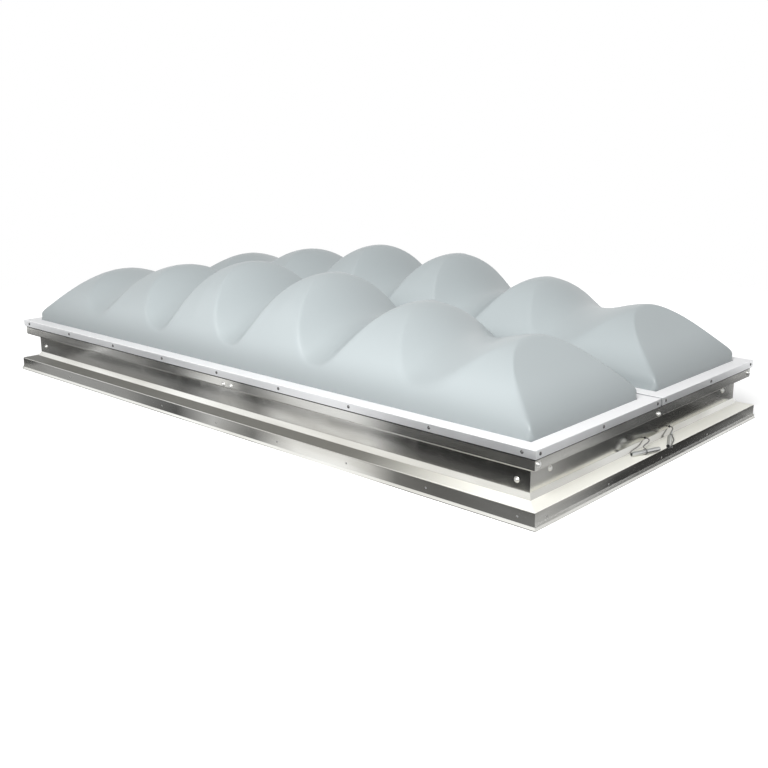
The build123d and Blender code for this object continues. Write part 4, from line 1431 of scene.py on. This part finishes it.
@dataclass
class Studio:
    """Pale floor that fades into the white background, soft lights and reflected bands.

    Attributes:
        lights: Area lights.
        strips: Bands that show in the sheet metal.
        fade: Distances between which the floor turns see-through.
        floor_margin: How much further the floor goes on, as a factor.
        floor_colour: Colour of the floor.
        floor_glow: Light that the floor adds for the camera and for reflections.
        glow_gain: What that light gains away from the vent.
        glow_band: Distances over which it gains that.
        ambient: Level of the sky that lights matt surfaces.
        horizon: Level of the sky at the horizon.
        zenith: Level of the sky overhead.
        sky_band: Height parts of the direction over which one gives way to the other.
        patches: Brighter and darker places of the sky.
    """

    lights: Sequence[SoftLight]
    strips: Sequence[Strip]
    fade: Pair = (1.7, 3.4)
    floor_margin: float = 1.1
    floor_colour: Colour = (0.88, 0.88, 0.88)
    floor_glow: float = 0.4
    glow_gain: float = 0.6
    glow_band: Pair = (1.3, 2.6)
    ambient: float = 0.35
    horizon: float = 1.05
    zenith: float = 0.5
    sky_band: Pair = (0.05, 0.85)
    patches: tuple[SkyPatch, ...] = (
        SkyPatch((-0.65, -0.54, 0.535), 1.3, (0.9, 0.99)),
    )

    def build(self) -> None:
        """Makes the whole studio."""
        for item in (*self.lights, *self.strips):
            item.build()
        self.floor()
        self.world()

    def floor(self) -> None:
        """Makes the floor, which turns see-through far from the vent."""
        mesh = bpy.data.meshes.new("floor")
        reach = self.fade[1] * self.floor_margin
        mesh.from_pydata(
            [(-reach, -reach, 0), (reach, -reach, 0), (reach, reach, 0), (-reach, reach, 0)],
            [], [(0, 1, 2, 3)])
        material = bpy.data.materials.new("floor")
        material.use_nodes = True
        graph = Graph(material.node_tree)
        where = graph.coordinates(Coordinates.OBJECT)
        radius = (where.part("X") ** 2.0 + where.part("Y") ** 2.0) ** 0.5
        paint = graph.add("ShaderNodeBsdfDiffuse", {"Color": rgba(self.floor_colour)})
        brighter = radius.ramp(*self.glow_band) * self.glow_gain + self.floor_glow
        glow = graph.add("ShaderNodeEmission", {"Color": self.seen(graph) * brighter})
        lit = graph.add("ShaderNodeAddShader", {
            0: Value(graph, paint.outputs[0]), 1: Value(graph, glow.outputs[0])})
        clear = graph.add("ShaderNodeBsdfTransparent", {})
        mixed = graph.add("ShaderNodeMixShader", {
            0: radius.ramp(*self.fade), 1: Value(graph, lit.outputs[0]),
            2: Value(graph, clear.outputs[0])})
        graph.add("ShaderNodeOutputMaterial", {"Surface": Value(graph, mixed.outputs[0])})
        mesh.materials.append(material)
        floor = linked("floor", mesh)
        floor.location.z = FLOOR_HEIGHT

    @staticmethod
    def seen(graph: Graph) -> Value:
        """Returns 1 for rays from the camera, reflections and glass, and 0 for the rest.

        Args:
            graph: The nodes of the floor's material or of the world.

        Returns:
            The mask.
        """
        rays = graph.add("ShaderNodeLightPath", {})
        kinds = ("Is Camera Ray", "Is Glossy Ray", "Is Transmission Ray")
        camera, glossy, passed = (Value(graph, rays.outputs[kind]) for kind in kinds)
        return camera.larger(glossy).larger(passed)

    def world(self) -> None:
        """Makes a background that is white towards the horizon and a softer sky above."""
        world = bpy.data.worlds.new("studio")
        bpy.context.scene.world = world
        world.use_nodes = True
        graph = Graph(world.node_tree)
        where = graph.coordinates(Coordinates.GENERATED)
        upwards = where.part("Z").ramp(*self.sky_band)
        sky = graph.mix(upwards, grey(self.horizon), grey(self.zenith))
        for patch in self.patches:
            sky = patch.over(graph, where, sky)
        colour = graph.mix(self.seen(graph), grey(self.ambient), sky)
        rays = graph.add("ShaderNodeLightPath", {})
        colour = graph.mix(Value(graph, rays.outputs["Is Camera Ray"]), colour, grey(1.0))
        shader = graph.add("ShaderNodeBackground", {"Color": colour, "Strength": 1.0})
        graph.add("ShaderNodeOutputWorld", {"Surface": Value(graph, shader.outputs[0])})


@dataclass(frozen=True)
class PhotoCamera:
    """The photograph's camera.

    Attributes:
        place: Where the lens is.
        forward: The way it looks.
        focal_px: Focal length in pixels of the photograph.
        centre_px: Where its axis meets the photograph, right and down from the middle.
    """

    place: Point
    forward: Point
    focal_px: float
    centre_px: Pair

    def build(self) -> bpy.types.Object:
        """Makes the scene's camera.

        Returns:
            The camera.
        """
        data = bpy.data.cameras.new("photo_camera")
        data.sensor_width = SENSOR_MM
        data.lens = self.focal_px / PHOTO_PIXELS * SENSOR_MM
        data.shift_x = -self.centre_px[0] / PHOTO_PIXELS
        data.shift_y = self.centre_px[1] / PHOTO_PIXELS
        data.clip_end = FARTHEST_VIEW
        camera = linked("photo_camera", data)
        camera.location = self.place
        camera.rotation_euler = Vector(self.forward).to_track_quat("-Z", "Y").to_euler()
        bpy.context.scene.camera = camera
        return camera


SIZES = VentSizes()
CAMERA = PhotoCamera((2.5706, -2.6199, 0.9927), (-0.6462, 0.7205, -0.2515), 996.7, (14.7, -3.3))
LIGHTS = (
    SoftLight("key", (2.2, -3.75, 3.1), (0.0, 0.0, 0.25), (2.2, 2.2), 245.0),
    SoftLight("back_fill", (-2.0, 4.2, 2.6), (0.0, 0.0, 0.25), (3.0, 3.0), 25.0, shines=False),
)
LONG_LEAN: Pair = (2.57, 2.01)
END_LEAN: Pair = (-2.62, 1.35)
STRIPS = (
    Strip("band_long_flange", True, SIZES.opening_y, (0.058, 0.155), LONG_LEAN, (
        (-1.3, 0.37), (-0.45, 0.37), (-0.34, 0.25), (-0.15, 0.1), (0.05, 0.6), (0.25, 0.25),
        (0.45, 1.15), (0.65, 1.2), (0.75, 0.9), (0.85, 0.28), (1.0, 0.19), (1.3, 0.22))),
    Strip("band_long_foot", True, SIZES.opening_y, (0.155, 0.235), LONG_LEAN, (
        (-1.3, 0.35), (-0.45, 0.35), (-0.24, 0.15), (0.0, 0.65), (0.15, 0.3), (0.25, 0.9),
        (0.65, 0.95), (0.75, 0.3), (0.82, 0.12), (1.3, 0.06))),
    Strip("band_long_upright", True, SIZES.opening_y, (0.235, 0.32), LONG_LEAN, (
        (-1.3, 0.1), (-0.45, 0.08), (-0.34, 0.03), (-0.15, 0.01), (0.0, 0.22), (0.15, 0.02),
        (0.25, 0.28), (0.45, 0.42), (0.62, 0.35), (0.72, 0.1), (0.8, 0.005), (1.3, 0.005))),
    Strip("band_long_rim", True, SIZES.opening_y, (0.32, 0.75), LONG_LEAN, (
        (-1.3, 0.34), (-0.45, 0.34), (-0.34, 0.15), (-0.2, 0.07), (0.05, 1.2), (0.15, 0.1),
        (0.28, 0.42), (0.38, 0.85), (0.65, 0.95), (0.82, 0.1), (1.3, 0.09))),
    Strip("band_end_flange", False, SIZES.opening_x, (0.064, 0.106), END_LEAN, (
        (-0.7, 0.55), (-0.5, 0.25), (-0.35, 0.06), (0.05, 0.06), (0.2, 0.1), (0.45, 0.2),
        (0.7, 0.36))),
    Strip("band_end_upright", False, SIZES.opening_x, (0.106, 0.25), END_LEAN, (
        (-0.7, 0.5), (-0.55, 0.45), (-0.41, 0.18), (-0.22, 0.05), (0.16, 0.04), (0.35, 0.06),
        (0.55, 0.08), (0.7, 1.2))),
    Strip("band_end_cap", False, SIZES.opening_x, (0.33, 0.55), END_LEAN, (
        (-0.7, 0.27), (-0.5, 0.22), (-0.31, 0.15), (0.0, 0.12), (0.45, 0.07), (0.6, 0.07),
        (0.7, 0.4))),
    Strip("band_end_rim", False, SIZES.opening_x, (0.25, 0.33), END_LEAN, (
        (-0.7, 0.66), (-0.5, 0.6), (-0.31, 0.14), (0.0, 0.1), (0.45, 0.12), (0.7, 0.25))),
)
LEFT_LENGTH = 0.0926
LEFT_ROUTE: tuple[Point, ...] = (
    (1.2207, -0.0080, 0.0766), (1.2300, -0.0080, 0.0766), (1.2390, -0.0170, 0.0740),
    (1.2430, -0.0350, 0.0720), (1.2440, -0.0520, 0.0715), (1.2470, -0.0680, 0.0710),
    (1.2519, -0.0763, 0.0694), (1.2613, -0.0794, 0.0677),
)
RIGHT_LENGTH = 0.2586
RIGHT_ROUTE: tuple[Point, ...] = (
    (1.2207, 0.1460, 0.0766), (1.2295, 0.1460, 0.0766), (1.2370, 0.1360, 0.0740),
    (1.2395, 0.1210, 0.0705), (1.2418, 0.1084, 0.0618), (1.2500, 0.0905, 0.0575),
    (1.2635, 0.0627, 0.0544), (1.2730, 0.0406, 0.0537), (1.2796, 0.0304, 0.0540),
    (1.2840, 0.0264, 0.0537), (1.2886, 0.0266, 0.0526), (1.2903, 0.0311, 0.0513),
    (1.2867, 0.0384, 0.0499), (1.2779, 0.0509, 0.0495), (1.2671, 0.0756, 0.0510),
    (1.2620, 0.0984, 0.0543), (1.2464, 0.1095, 0.0619), (1.2432, 0.1185, 0.0684),
)


def main() -> None:
    """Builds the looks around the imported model."""
    logging.basicConfig(level=logging.INFO, format="%(name)s: %(message)s")
    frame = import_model()
    CAMERA.build()
    nodes = frame["nodes"]
    palette = Palette()
    palette.dress(nodes, frame["record"]["subparts"])
    pieces: list[Piece] = [
        PullCable(palette, "left", LEFT_ROUTE, LEFT_LENGTH, [nodes["cable_loop"]], "knot"),
        PullCable(palette, "right", RIGHT_ROUTE, RIGHT_LENGTH, [nodes["cable_sleeve"]]),
        HumpedDome(palette, "near", -SIZES.leaf_y),
        HumpedDome(palette, "far", SIZES.leaf_y),
        Heads(palette, "screw_heads_near", SCREW_HEAD, Slot.SCREW, "near_leaf",
              SIZES.cap_screws(-1)),
        Heads(palette, "screw_heads_far", SCREW_HEAD, Slot.SCREW, "far_leaf",
              SIZES.cap_screws(1)),
        Heads(palette, "button_heads", BUTTON_HEAD, Slot.BOLT, "curb", SIZES.curb_bolts()),
        Heads(palette, "pin_heads", DOMED_PIN, Slot.BOLT, "curb", SIZES.hinge_pins()),
    ]
    for piece in pieces:
        for made in piece.build():
            log.info("made %s", made.name)
    bpy.context.scene.view_settings.view_transform = "Standard"
    Studio(LIGHTS, STRIPS).build()


if __name__ == "__main__":
    main()
